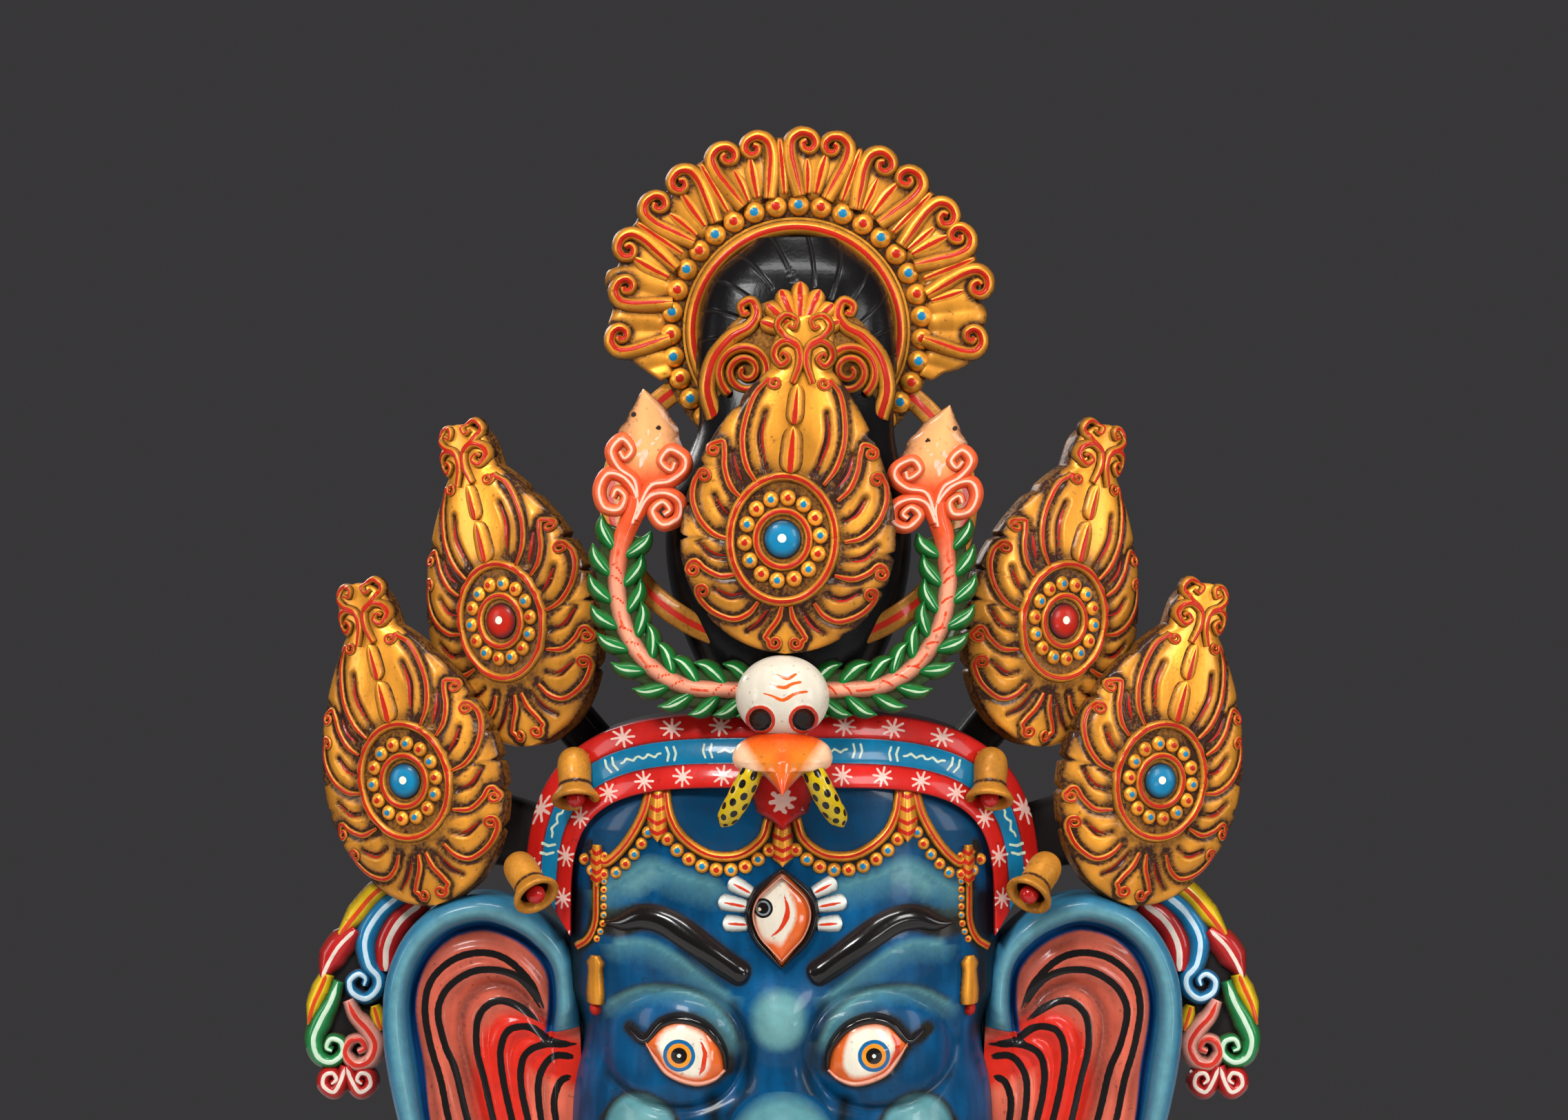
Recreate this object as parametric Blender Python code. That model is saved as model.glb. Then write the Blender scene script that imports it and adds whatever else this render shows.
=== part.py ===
"""A large carved and painted wooden elephant-headed mask, made to hang on a wall.

The head is one block with a tiara band, brows, eyes, swags, trunk and tusks carved in it, and it is
hollowed from behind. Round the crown stand five leaf-shaped plaques, a topknot with its cap, hoop and
flaming halo, a bird's skull that bites a snake, two leafy sprays and four bells. At each side is an ear
with a plume of ribbons. The wall is the plane y = 0, the viewer stands on the side of -Y, +Z is up, and
the origin is the place on the back where the mask hangs. Every size is in metres.
"""

import math

import bmesh
import bpy
from mathutils import Matrix, Vector

# Gap that every piece keeps to the piece it is let into
CLEARANCE = 0.0003

# Head block
TEMPLE_HALF_WIDTH = 0.150
CHEEK_HALF_WIDTH = 0.146
CHEEK_HALF_HEIGHT = 0.128
CHEEK_Z = -0.268
FACE_TOP_Z = -0.020
FACE_DEPTH = 0.124
FACE_EDGE_DEPTH = 0.040
CHIN_RECESS = 0.050
FACE_COLUMNS = 12
FACE_ROWS = 14

# Tiara band: an arch of three ribbons, whose edges are superellipses about one centre
BAND_FOOT_Z = -0.130
BAND_INNER = (0.1445, 0.104, 4.0)
BAND_OUTER = (0.1780, 0.153, 3.35)
BAND_INNER_DEPTH = (0.137, 0.085)
BAND_OUTER_DEPTH = (0.120, 0.050)
BAND_DIP = 0.019
BAND_DIP_HALF_WIDTH = 0.034
BAND_STEPS = 20

# Hollow that is scooped from the back of the head
HOLLOW_HALF_WIDTH = 0.088
HOLLOW_HALF_HEIGHT = 0.125
HOLLOW_DEPTH = 0.070
HOLLOW_Z = -0.215
HOLLOW_SIDES = 14

# Face carving
EYE_X = 0.0655
EYE_Z = -0.212
EYE_HALF_WIDTH = 0.029
EYE_HALF_HEIGHT = 0.0185
EYE_SIDES = 10
THIRD_EYE_Z = -0.115
THIRD_EYE_HALF_HEIGHT = 0.030
THIRD_EYE_HALF_WIDTH = 0.021
BROW_THICKNESS = 0.0065
BROW_STATIONS = 7
BROW_PATH = (
    (0.022, -0.152), (0.042, -0.137), (0.066, -0.123), (0.090, -0.119), (0.108, -0.126), (0.119, -0.122),
)
NOSE_BUMP_Z = -0.182
NOSE_BUMP_RADIUS = 0.026
ROPE_RADIUS = 0.0045
SWAG_DROPS = (0.0315, 0.0260)
SWAG_STATIONS = 5
PENDANT_XS = (0.0, 0.088, 0.124)
PENDANT_LENGTH = 0.034

# Trunk and tusks
TRUNK_PATH = (
    (0.000, -0.112, -0.226, 0.036), (0.000, -0.140, -0.262, 0.038), (0.000, -0.154, -0.300, 0.035),
    (0.000, -0.160, -0.338, 0.032), (-0.006, -0.162, -0.374, 0.029), (-0.027, -0.162, -0.400, 0.026),
    (-0.058, -0.160, -0.405, 0.023), (-0.081, -0.157, -0.386, 0.0205), (-0.082, -0.155, -0.358, 0.018),
    (-0.064, -0.155, -0.349, 0.015),
)
TRUNK_SIDES = 8
TUSK_ROOT = (0.052, -0.105, -0.306)
TUSK_TIP = (0.092, -0.176, -0.362)
TUSK_RADIUS = 0.012

# Leaf-shaped plaques: shares of the half width give the carving its places
PLAQUE_HALF_WIDTH = 0.0715
MIDDLE_FOOT = (0.0746, 1.65)
SIDE_FOOT = (0.0920, 2.0)
PLAQUE_ABOVE = 0.149
PLAQUE_NECK = 0.021
PLAQUE_NECK_START = 0.112
PLAQUE_THICKNESS = 0.017
PLAQUE_CROWN = 0.012
PLAQUE_SWEEP = 0.010
PLAQUE_LOBE = 0.0016
PLAQUE_POINTS = 32
ROSETTE = (0.0348, 0.0414)
JEWEL_RADIUS = 0.0127

# Where the plaques stand: centre of the rosette's back, lean and turn in degrees, and size
MIDDLE_PLAQUE = (0.0, -0.1365, 0.1397, 3.0, 0.0, 1.0)
UPPER_PLAQUE = (0.1800, -0.0470, 0.0842, 14.0, 28.0, 0.95)
LOWER_PLAQUE = (0.2500, -0.0400, -0.0255, 14.0, 20.0, 0.95)

# Shoulders of the head that carry the side plaques: where they meet it, and where they leave the band
SHOULDER_SEATS = (((-0.018, -0.050), (0.026, 0.026)), ((-0.028, -0.030), (0.022, 0.030)))
SHOULDER_ROOTS = (
    ((0.1160, -0.0300, -0.0200), (0.024, 0.026, 0.020)),
    ((0.1570, -0.0260, -0.0700), (0.012, 0.022, 0.022)),
)
SHOULDER_DEPTH = 0.006

# Halo: a ring, a string of beads and a border of flames, seen round its own centre
HALO_CENTRE = (0.0096, 0.2848)
HALO_BACK = 0.024
HALO_THICKNESS = 0.020
HALO_RING = (0.0665, 0.0775)
HALO_BEAD_CIRCLE = 0.0870
HALO_BEAD_RADIUS = 0.0072
HALO_FLAME_ROOT = 0.0950
HALO_FLAME_TIP = 0.1345
HALO_FLAME_SPAN = (-14.0, 204.0)
HALO_BEAD_SPAN = (-46.0, 236.0)
HALO_STATIONS = 40
FLAME_PITCH = 25.0
FLAME_MIDDLE = 95.0

# Topknot, the cap on it and the hoop round it
TOPKNOT_X = 0.004
TOPKNOT_BACK = 0.010
TOPKNOT_SIDES = 11
TOPKNOT_SHAPE = (
    (0.010, 0.046, 0.112), (0.045, 0.058, 0.130), (0.090, 0.076, 0.139), (0.135, 0.0835, 0.142),
    (0.175, 0.0790, 0.136), (0.218, 0.0670, 0.104), (0.270, 0.0690, 0.088), (0.318, 0.0590, 0.079),
    (0.348, 0.0280, 0.062),
)
CAP_CENTRE = (0.0100, 0.2480)
CAP_HALF_WIDTH = 0.0640
CAP_HALF_HEIGHT = 0.0600
CAP_BACK = 0.078
CAP_THICKNESS = 0.016
CAP_CURL_BACK = CAP_BACK + 0.004
CAP_COIL = (0.034, 0.006, 0.022)
CAP_CREST = (0.0, 0.044, 0.016)
HOOP_CENTRE = (0.004, 0.168)
HOOP_RADII = (0.121, 0.100)
HOOP_WIDTH = 0.016
HOOP_THICKNESS = 0.007
HOOP_FRONT = 0.123
HOOP_SPAN = (128.0, 412.0)

# Leafy sprays at the two sides of the skull
SPRAY_BACK = 0.128
SPRAY_THICKNESS = 0.014
SPRAY_STEM = 0.0058
SPRAY_LEAF = 0.0150
SPRAY_STEM_PATH = (
    (0.010, 0.0380), (0.036, 0.0395), (0.065, 0.0420), (0.0888, 0.0560), (0.1050, 0.0810),
    (0.1105, 0.1120), (0.1070, 0.1380), (0.0975, 0.1640), (0.0950, 0.1800),
)
SPRAY_LEAVES = 9
SPRAY_CURLS = (
    (0.1085, 0.1715, 0.0135), (0.0800, 0.1640, 0.0115), (0.1035, 0.1965, 0.0088), (0.0755, 0.1905, 0.0095),
)
SPRAY_LEAF_TIP = (0.0955, 0.2370)
SPRAY_TIP_HALF_WIDTH = 0.0150

# Bird's skull with a snake in its beak
SKULL_CENTRE = (0.0, -0.1520, 0.0351)
SKULL_RADIUS = 0.0311
SOCKET_RADIUS = 0.0080
SOCKET_PLACE = (0.0145, -0.0245, -0.0125)
BEAK_HALF_WIDTH = 0.0320
BEAK_DEPTH = 0.0240
BEAK_TOP_Z = 0.0130
BEAK_TIP = (0.0, -0.1930, -0.0270)
SNAKE_RADIUS = 0.0056
SNAKE_PATH = (
    (0.012, -0.166, -0.006), (0.019, -0.168, -0.018), (0.029, -0.164, -0.034), (0.038, -0.156, -0.047),
)

# Bells: the place of the mouth, and the way it points
BELL_LENGTH = 0.034
BELL_MOUTH = 0.0160
BELL_BODY = 0.0115
BELL_WALL = 0.0055
BELL_SIDES = 9
CLAPPER_RADIUS = 0.0065
UPPER_BELL = ((0.1400, -0.0980, -0.0360), (-0.06, -0.45, -0.89))
LOWER_BELL = ((0.1660, -0.1080, -0.1000), (-0.45, -0.62, -0.64))

# Ears
EAR_CENTRE = (0.2060, -0.2120)
EAR_BACK = 0.020
EAR_RIM_DEPTH = 0.074
EAR_RIM_WIDTH = 0.019
EAR_POINTS = 24
EAR_PATH = (
    (0.1370, -0.2030), (0.1395, -0.1700), (0.1480, -0.1380), (0.1700, -0.1120), (0.2030, -0.1010),
    (0.2350, -0.1110), (0.2600, -0.1330), (0.2735, -0.1660), (0.2755, -0.1950), (0.2700, -0.2350),
    (0.2580, -0.2800), (0.2380, -0.3280), (0.2080, -0.3660), (0.1780, -0.3740), (0.1620, -0.3500),
    (0.1480, -0.3050), (0.1380, -0.2500),
)

# Plumes of ribbons behind the ears: centre line in the front view and half widths along it
PLUME_BACK = 0.014
PLUME_THICKNESS = 0.022
PLUME_RIBBONS = {
    "first_yellow": ((0.262, -0.098), (0.288, -0.124), (0.300, -0.140), 0.0085),
    "blue": ((0.248, -0.104), (0.282, -0.132), (0.273, -0.172), 0.0100),
    "first_red": ((0.236, -0.106), (0.262, -0.130), (0.270, -0.170), 0.0090),
    "second_red": ((0.292, -0.136), (0.314, -0.154), (0.318, -0.182), 0.0105),
    "second_yellow": ((0.313, -0.176), (0.325, -0.188), (0.327, -0.214), 0.0070),
    "green": ((0.306, -0.178), (0.305, -0.198), (0.320, -0.222), 0.0095),
    "pink": ((0.284, -0.182), (0.284, -0.200), (0.276, -0.224), 0.0100),
    "foot": ((0.302, -0.218), (0.300, -0.228), (0.300, -0.240), 0.0080),
}
PLUME_CURLS = (
    (0.289, -0.168, 0.0125), (0.311, -0.213, 0.0125), (0.290, -0.212, 0.0125),
    (0.310, -0.237, 0.0088), (0.291, -0.237, 0.0088),
)
RIBBON_STATIONS = 4
CURL_SIDES = 8

GOLD = ("gold_paint", (0.76, 0.46, 0.12), 0.38, 0.60)
BLUE = ("blue_paint", (0.02, 0.18, 0.50), 0.35, 0.0)
BLACK = ("black_lacquer", (0.012, 0.012, 0.014), 0.25, 0.0)
GREEN = ("green_paint", (0.02, 0.30, 0.10), 0.35, 0.0)
WHITE = ("bone_white_paint", (0.78, 0.74, 0.64), 0.35, 0.0)
EAR_BLUE = ("pale_blue_paint", (0.12, 0.38, 0.58), 0.38, 0.0)
RED = ("red_paint", (0.62, 0.03, 0.03), 0.35, 0.0)


def clear_scene():
    for obj in list(bpy.data.objects):
        bpy.data.objects.remove(obj)


def mix(a, b, share):
    return a + (b - a) * share


def smooth_through(points, steps):
    """A smooth open curve through the points (Catmull-Rom), with that many steps between two of them."""
    points = [Vector(p) for p in points]
    ends = [points[0] * 2 - points[1], *points, points[-1] * 2 - points[-2]]
    curve = []
    for a, b, c, d in zip(ends, ends[1:], ends[2:], ends[3:]):
        bend = 2 * a - 5 * b + 4 * c - d
        twist = 3 * b - a - 3 * c + d
        for step in range(steps):
            t = step / steps
            curve.append(b + 0.5 * ((c - a) * t + bend * t**2 + twist * t**3))
    return [*curve, points[-1]]


def evenly(points, count, closed=False):
    """That many points at even distances along a line, or round a closed one."""
    line = [*points, points[0]] if closed else points
    lengths = [0.0]
    for a, b in zip(line, line[1:]):
        lengths.append(lengths[-1] + (b - a).length)
    spread = []
    piece = 0
    for i in range(count):
        wanted = lengths[-1] * i / (count if closed else count - 1)
        while piece < len(line) - 2 and lengths[piece + 1] < wanted:
            piece += 1
        share = (wanted - lengths[piece]) / max(lengths[piece + 1] - lengths[piece], 1e-9)
        spread.append(line[piece].lerp(line[piece + 1], min(share, 1.0)))
    return spread


def paint(finish):
    name, colour, roughness, metallic = finish
    made = bpy.data.materials.get(name) or bpy.data.materials.new(name)
    made.use_nodes = True
    made.diffuse_color = (*colour, 1.0)
    shader = made.node_tree.nodes["Principled BSDF"]
    shader.inputs["Base Color"].default_value = (*colour, 1.0)
    shader.inputs["Roughness"].default_value = roughness
    shader.inputs["Metallic"].default_value = metallic
    return made


def solid(name, bm, finish):
    """An object from a closed bmesh, faces outwards, smooth but for its sharp edges."""
    bmesh.ops.remove_doubles(bm, verts=bm.verts, dist=1e-6)
    bmesh.ops.triangulate(bm, faces=bm.faces)
    bmesh.ops.recalc_face_normals(bm, faces=bm.faces)
    mesh = bpy.data.meshes.new(name)
    bm.to_mesh(mesh)
    bm.free()
    mesh.materials.append(paint(finish))
    mesh.shade_smooth()
    mesh.set_sharp_from_angle(angle=math.radians(35))
    obj = bpy.data.objects.new(name, mesh)
    bpy.context.scene.collection.objects.link(obj)
    return obj


def loft(loops):
    """A closed bmesh through the loops, which are closed rings of points or single end points.

    A ring may have twice as many points as the ring before it. A first or last ring is filled in.
    """
    bm = bmesh.new()
    rings = [[bm.verts.new(p) for p in loop] for loop in loops]
    for a, b in zip(rings, rings[1:]):
        if len(b) == 2 * len(a) and len(a) > 1:
            for i, vertex in enumerate(a):
                after = a[(i + 1) % len(a)]
                corners = (b[2 * i], b[2 * i + 1], b[(2 * i + 2) % len(b)])
                bm.faces.new((vertex, corners[0], corners[1]))
                bm.faces.new((vertex, corners[1], after))
                bm.faces.new((after, corners[1], corners[2]))
            continue
        count = max(len(a), len(b))
        for i in range(count):
            j = (i + 1) % count
            corners = [a[i % len(a)], b[i % len(b)], b[j % len(b)], a[j % len(a)]]
            bm.faces.new(dict.fromkeys(corners))
    for ring in (rings[0], rings[-1]):
        if len(ring) > 2:
            bm.faces.new(ring)
    return bm


def tube(centres, radii, sides, flatten=1.0):
    """A closed tube of round sections along a line; flatten is its depth against its width."""
    loops = []
    for i, centre in enumerate(centres):
        ahead = centres[min(i + 1, len(centres) - 1)] - centres[max(i - 1, 0)]
        side = ahead.cross(Vector((0, 1, 0))).normalized()
        out = side.cross(ahead).normalized() * flatten
        angles = [2 * math.pi * k / sides for k in range(sides)]
        loops.append([centre + radii[i] * (side * math.cos(a) + out * math.sin(a)) for a in angles])
    return loft(loops)


def evaluated_mesh(obj):
    graph = bpy.context.evaluated_depsgraph_get()
    return bpy.data.meshes.new_from_object(obj.evaluated_get(graph))


def tidy_body(obj):
    """Deletes the crumbs that a cut leaves beside the main body, and the seams it leaves in flat faces."""
    bm = bmesh.new()
    bm.from_mesh(obj.data)
    left = set(bm.verts)
    bodies = []
    while left:
        front = [left.pop()]
        body = []
        while front:
            vertex = front.pop()
            body.append(vertex)
            for edge in vertex.link_edges:
                other = edge.other_vert(vertex)
                if other in left:
                    left.remove(other)
                    front.append(other)
        bodies.append(body)
    bodies.sort(key=len)
    for crumbs in bodies[:-1]:
        bmesh.ops.delete(bm, geom=crumbs, context="VERTS")
    bmesh.ops.dissolve_degenerate(bm, edges=bm.edges, dist=2e-5)
    bmesh.ops.dissolve_limit(bm, angle_limit=math.radians(0.3), verts=bm.verts, edges=bm.edges)
    bmesh.ops.triangulate(bm, faces=bm.faces)
    bm.to_mesh(obj.data)
    bm.free()


def boolean(obj, other, operation):
    bpy.context.view_layer.update()
    modifier = obj.modifiers.new(operation.lower(), "BOOLEAN")
    modifier.operation = operation
    modifier.object = other
    mesh = evaluated_mesh(obj)
    obj.modifiers.clear()
    obj.data = mesh


def join(obj, *others):
    """Makes one body of obj and the others, which are used up."""
    for other in others:
        boolean(obj, other, "UNION")
        bpy.data.objects.remove(other)
    tidy_body(obj)


def cut(obj, *cutters):
    for cutter in cutters:
        boolean(obj, cutter, "DIFFERENCE")
        bpy.data.objects.remove(cutter)
    tidy_body(obj)


def let_in(obj, *neighbours):
    """Cuts obj back to where it clears its neighbours, which stay whole.

    A cutter is swollen along its vertex normals, a little further than the gap because they lean at edges.
    """
    for neighbour in neighbours:
        swollen = neighbour.copy()
        swollen.data = neighbour.data.copy()
        bpy.context.scene.collection.objects.link(swollen)
        bm = bmesh.new()
        bm.from_mesh(swollen.data)
        bm.normal_update()
        for vertex, normal in [(v, v.normal.copy()) for v in bm.verts]:
            vertex.co += normal * CLEARANCE * 1.4
        bm.to_mesh(swollen.data)
        bm.free()
        boolean(obj, swollen, "DIFFERENCE")
        bpy.data.objects.remove(swollen)
    tidy_body(obj)


def mirrored(obj, name):
    """The same carving for the other side of the mask."""
    twin = bpy.data.objects.new(name, obj.data.copy())
    bpy.context.scene.collection.objects.link(twin)
    twin.data.transform(Matrix.Scale(-1, 4, (1, 0, 0)))
    twin.data.flip_normals()
    return twin


# The head block


def face_half_width(z):
    """Straight temples above, and one superellipse for cheeks and jaw below."""
    reach = min(abs(z - CHEEK_Z) / CHEEK_HALF_HEIGHT, 1.0)
    cheek = CHEEK_HALF_WIDTH * (1 - reach**2.6) ** (1 / 2.6)
    return max(cheek, TEMPLE_HALF_WIDTH if z > CHEEK_Z + 0.7 * CHEEK_HALF_HEIGHT else 0.0)


def mound(x, z, centre_x, centre_z, radius_x, radius_z, height):
    return height * math.exp(-(((x - centre_x) / radius_x) ** 2) - ((z - centre_z) / radius_z) ** 2)


def face_depth(x, z):
    """How far the face stands out from the wall."""
    half_width = max(face_half_width(z), 0.02)
    across = min(abs(x) / half_width, 1.0)
    below = max(0.0, CHEEK_Z - 0.030 - z) / (CHEEK_HALF_HEIGHT - 0.030)
    middle = FACE_DEPTH - CHIN_RECESS * below**2
    depth = FACE_EDGE_DEPTH + (middle - FACE_EDGE_DEPTH) * (1 - across**2.8) ** 0.5
    depth += mound(x, z, 0, NOSE_BUMP_Z, NOSE_BUMP_RADIUS, NOSE_BUMP_RADIUS, 0.012)
    for side in (-1, 1):
        depth += mound(x, z, side * 0.096, CHEEK_Z + 0.004, 0.034, 0.036, 0.014)
        depth += mound(x, z, side * EYE_X, EYE_Z + 0.006, 0.040, 0.030, 0.009)
        depth -= mound(x, z, side * 0.030, EYE_Z - 0.004, 0.014, 0.026, 0.010)
    return depth


def face_block():
    """A grid of columns and rows over the face, closed by its sides and a flat back."""
    bm = bmesh.new()
    foot = CHEEK_Z - 0.995 * CHEEK_HALF_HEIGHT
    grid = []
    for row in range(FACE_ROWS + 1):
        z = mix(FACE_TOP_Z, foot, row / FACE_ROWS)
        half_width = face_half_width(z)
        line = []
        for column in range(FACE_COLUMNS + 1):
            x = half_width * math.sin(math.pi / 2 * mix(-1, 1, column / FACE_COLUMNS))
            line.append(bm.verts.new((x, -face_depth(x, z), z)))
        grid.append(line)
    for upper, lower in zip(grid, grid[1:]):
        for i in range(FACE_COLUMNS):
            bm.faces.new((upper[i], upper[i + 1], lower[i + 1], lower[i]))
    last_column = [line[-1] for line in grid[1:]]
    first_column = [line[0] for line in reversed(grid[1:-1])]
    rim = [*grid[0], *last_column, *reversed(grid[-1][:-1]), *first_column]
    back = [bm.verts.new((v.co.x, 0.0, v.co.z)) for v in rim]
    for i, vertex in enumerate(rim):
        j = (i + 1) % len(rim)
        bm.faces.new((vertex, back[i], back[j], rim[j]))
    bm.faces.new(back)
    return solid("head", bm, BLUE)


def band_dip(x):
    """How far the band's inner edge dips in a V under the bird's beak."""
    return BAND_DIP * max(0.0, 1 - abs(x) / BAND_DIP_HALF_WIDTH)


def band_edge(across, turn):
    """A point of the band between its inner edge at 0 and its outer edge at 1; turn goes along the arch."""
    half_width, height, power = (mix(a, b, across) for a, b in zip(BAND_INNER, BAND_OUTER))
    angle = math.pi * turn
    x = half_width * math.copysign(abs(math.cos(angle)) ** (2 / power), math.cos(angle))
    z = BAND_FOOT_Z + height * math.sin(angle) ** (2 / power) - (1 - across) * band_dip(x)
    share = (abs(x) / half_width) ** 2
    depth = mix(mix(*BAND_INNER_DEPTH, share), mix(*BAND_OUTER_DEPTH, share), across)
    return Vector((x, -depth, z))


def band_arch():
    """The arch of the band, as a bar that runs back to the wall."""
    loops = []
    for i in range(BAND_STEPS + 1):
        front = [band_edge(across, i / BAND_STEPS) for across in (1.0, 0.66, 0.34, 0.0)]
        walls = [Vector((p.x, 0.0, p.z)) for p in (front[-1], front[0])]
        loops.append([*front, *walls])
    return solid("band", loft(loops), BLUE)


def on_face(x, z, proud=0.0):
    return Vector((x, -face_depth(x, z) - proud, z))


def brow():
    """One S-shaped brow, thick near the nose and thin at the temple."""
    line = evenly(smooth_through([on_face(x, z, 0.001) for x, z in BROW_PATH], 6), BROW_STATIONS)
    widths = [BROW_THICKNESS * (1 - 0.72 * (i / (BROW_STATIONS - 1)) ** 2) for i in range(BROW_STATIONS)]
    return solid("brow", tube(line, widths, 6, 0.7), BLACK)


def eyeball(x, z, half_width, half_height, proud):
    """A lens-shaped bulge, pointed at its two corners."""
    loops = [[on_face(x, z, proud)]]
    for share, rise in ((0.55, 0.75), (1.0, 0.0), (1.0, -0.9)):
        ring = []
        for i in range(EYE_SIDES):
            angle = 2 * math.pi * i / EYE_SIDES
            u = half_width * share * math.cos(angle)
            v = half_height * share * math.sin(angle) * (1 - 0.25 * abs(math.cos(angle)))
            ring.append(on_face(x + u, z + v) - Vector((0, proud * rise, 0)))
        loops.append(ring)
    return solid("eye", loft(loops), WHITE)


def band_hem(x):
    """Height of the band's inner edge at x."""
    half_width, height, power = BAND_INNER
    return BAND_FOOT_Z + height * (1 - (abs(x) / half_width) ** power) ** (1 / power) - band_dip(x)


def swag(near_x, far_x, drop):
    """A gold cord that hangs under the band between two pendants."""
    points = []
    for i in range(SWAG_STATIONS):
        t = i / (SWAG_STATIONS - 1)
        z = mix(band_hem(near_x), band_hem(far_x), t) - drop * 4 * t * (1 - t)
        points.append(on_face(mix(near_x, far_x, t), z, 0.001))
    return solid("swag", tube(points, [ROPE_RADIUS] * SWAG_STATIONS, 4), GOLD)


def pendant(x):
    shape = ((0.0, 0.004), (0.35, 0.0065), (0.75, 0.0085), (1.0, 0.002))
    line = [on_face(x, band_hem(x) + 0.003 - PENDANT_LENGTH * t, 0.002) for t, _ in shape]
    return solid("pendant", tube(line, [radius for _, radius in shape], 5, 0.8), GOLD)


def trunk():
    line = [Vector(p[:3]) for p in TRUNK_PATH]
    return solid("trunk", tube(line, [p[3] for p in TRUNK_PATH], TRUNK_SIDES, 0.9), BLUE)


def tusk(side):
    root, tip = Vector(TUSK_ROOT), Vector(TUSK_TIP)
    bend = Vector((0.008, 0.0, -0.010))
    line = [root.lerp(tip, t) + bend * 4 * t * (1 - t) for t in (0.0, 0.3, 0.6, 0.85, 1.0)]
    widths = [TUSK_RADIUS * w for w in (1.0, 0.92, 0.74, 0.48, 0.16)]
    for point in line:
        point.x *= side
    return solid("tusk", tube(line, widths, 8), WHITE)


def plaque_frame(place, side):
    """Where a plaque's own axes lie: it leans outwards and is turned outwards on its side of the mask."""
    x, y, z, lean, turn, size = place
    facing = Matrix.Rotation(math.radians(side * turn), 4, "Z")
    turned = facing @ Matrix.Rotation(math.radians(side * lean), 4, "Y")
    return Matrix.Translation((side * x, y, z)) @ turned @ Matrix.Scale(size, 4)


def shoulder(place, seat, root, side):
    """A wedge of the head that reaches out behind a plaque and carries it."""
    frame = plaque_frame(place, side)
    (seat_x, seat_z), (seat_width, seat_height) = seat
    centre, reach = root
    bm = bmesh.new()
    for u in (-1, 1):
        for v in (-1, 1):
            for w in (-1, 1):
                near = (side * seat_x + u * seat_width, v * SHOULDER_DEPTH, seat_z + w * seat_height)
                bm.verts.new(frame @ Vector(near))
                x = side * centre[0] + u * reach[0]
                bm.verts.new((x, centre[1] + v * reach[1], centre[2] + w * reach[2]))
    hull = bmesh.ops.convex_hull(bm, input=bm.verts)
    bmesh.ops.delete(bm, geom=hull["geom_interior"], context="VERTS")
    return solid("shoulder", bm, BLUE)


def hollow():
    """A scooped oval hollow, wide at the back and rounded at its floor."""
    loops = []
    for depth, share in ((-0.02, 1.0), (0.3, 0.97), (0.75, 0.82), (1.0, 0.50)):
        ring = []
        for i in range(HOLLOW_SIDES):
            angle = 2 * math.pi * i / HOLLOW_SIDES
            u = math.copysign(abs(math.cos(angle)) ** 0.8, math.cos(angle))
            v = math.copysign(abs(math.sin(angle)) ** 0.8, math.sin(angle))
            z = HOLLOW_Z + HOLLOW_HALF_HEIGHT * share * v
            ring.append((HOLLOW_HALF_WIDTH * share * u, -HOLLOW_DEPTH * depth, z))
        loops.append(ring)
    return solid("hollow", loft(loops), BLUE)


def head_block():
    head = face_block()
    join(head, band_arch(), trunk(), tusk(-1), tusk(1))
    left_brow = brow()
    join(head, mirrored(left_brow, "other_brow"), left_brow)
    for x in (-EYE_X, EYE_X):
        join(head, eyeball(x, EYE_Z, EYE_HALF_WIDTH, EYE_HALF_HEIGHT, 0.009))
    join(head, eyeball(0, THIRD_EYE_Z, THIRD_EYE_HALF_WIDTH, THIRD_EYE_HALF_HEIGHT, 0.007))
    for side in (-1, 1):
        for near_x, far_x, drop in zip(PENDANT_XS, PENDANT_XS[1:], SWAG_DROPS):
            join(head, swag(side * near_x, side * far_x, drop))
            join(head, pendant(side * far_x))
        for place, seat, root in zip((UPPER_PLAQUE, LOWER_PLAQUE), SHOULDER_SEATS, SHOULDER_ROOTS):
            join(head, shoulder(place, seat, root, side))
    join(head, pendant(0))
    return head


# The leaf-shaped plaques


def plaque_half_width(v, foot):
    """Half the plaque's width at height v above the rosette: a round foot, an ogee, and a narrow neck."""
    below, power = foot
    if v < 0:
        return PLAQUE_HALF_WIDTH * max(0.0, 1 - (-v / below) ** power) ** (1 / power)
    if v < PLAQUE_NECK_START:
        fall = (0.5 + 0.5 * math.cos(math.pi * v / PLAQUE_NECK_START)) ** 0.5
        return PLAQUE_NECK + (PLAQUE_HALF_WIDTH - PLAQUE_NECK) * fall
    end = max(0.0, v - (PLAQUE_ABOVE - PLAQUE_NECK)) / PLAQUE_NECK
    return PLAQUE_NECK * math.sqrt(max(0.0, 1 - end**2))


def plaque_outline(foot):
    heights = [mix(-foot[0], PLAQUE_ABOVE, 0.5 - 0.5 * math.cos(math.pi * i / 120)) for i in range(121)]
    right = [Vector((plaque_half_width(v, foot), 0, v)) for v in heights]
    left = [Vector((-p.x, 0, p.z)) for p in reversed(right[1:-1])]
    swept = []
    for p in (*right, *left):
        swept.append(p + Vector((PLAQUE_SWEEP * (max(p.z, 0.0) / PLAQUE_ABOVE) ** 2, 0, 0)))
    return evenly(swept, PLAQUE_POINTS, closed=True)


def oval(radii, direction):
    """The point of an oval, with those half width and half height, in a direction."""
    length = math.hypot(direction.x / radii[0], direction.z / radii[1])
    return Vector((direction.x / length, 0, direction.z / length))


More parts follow.
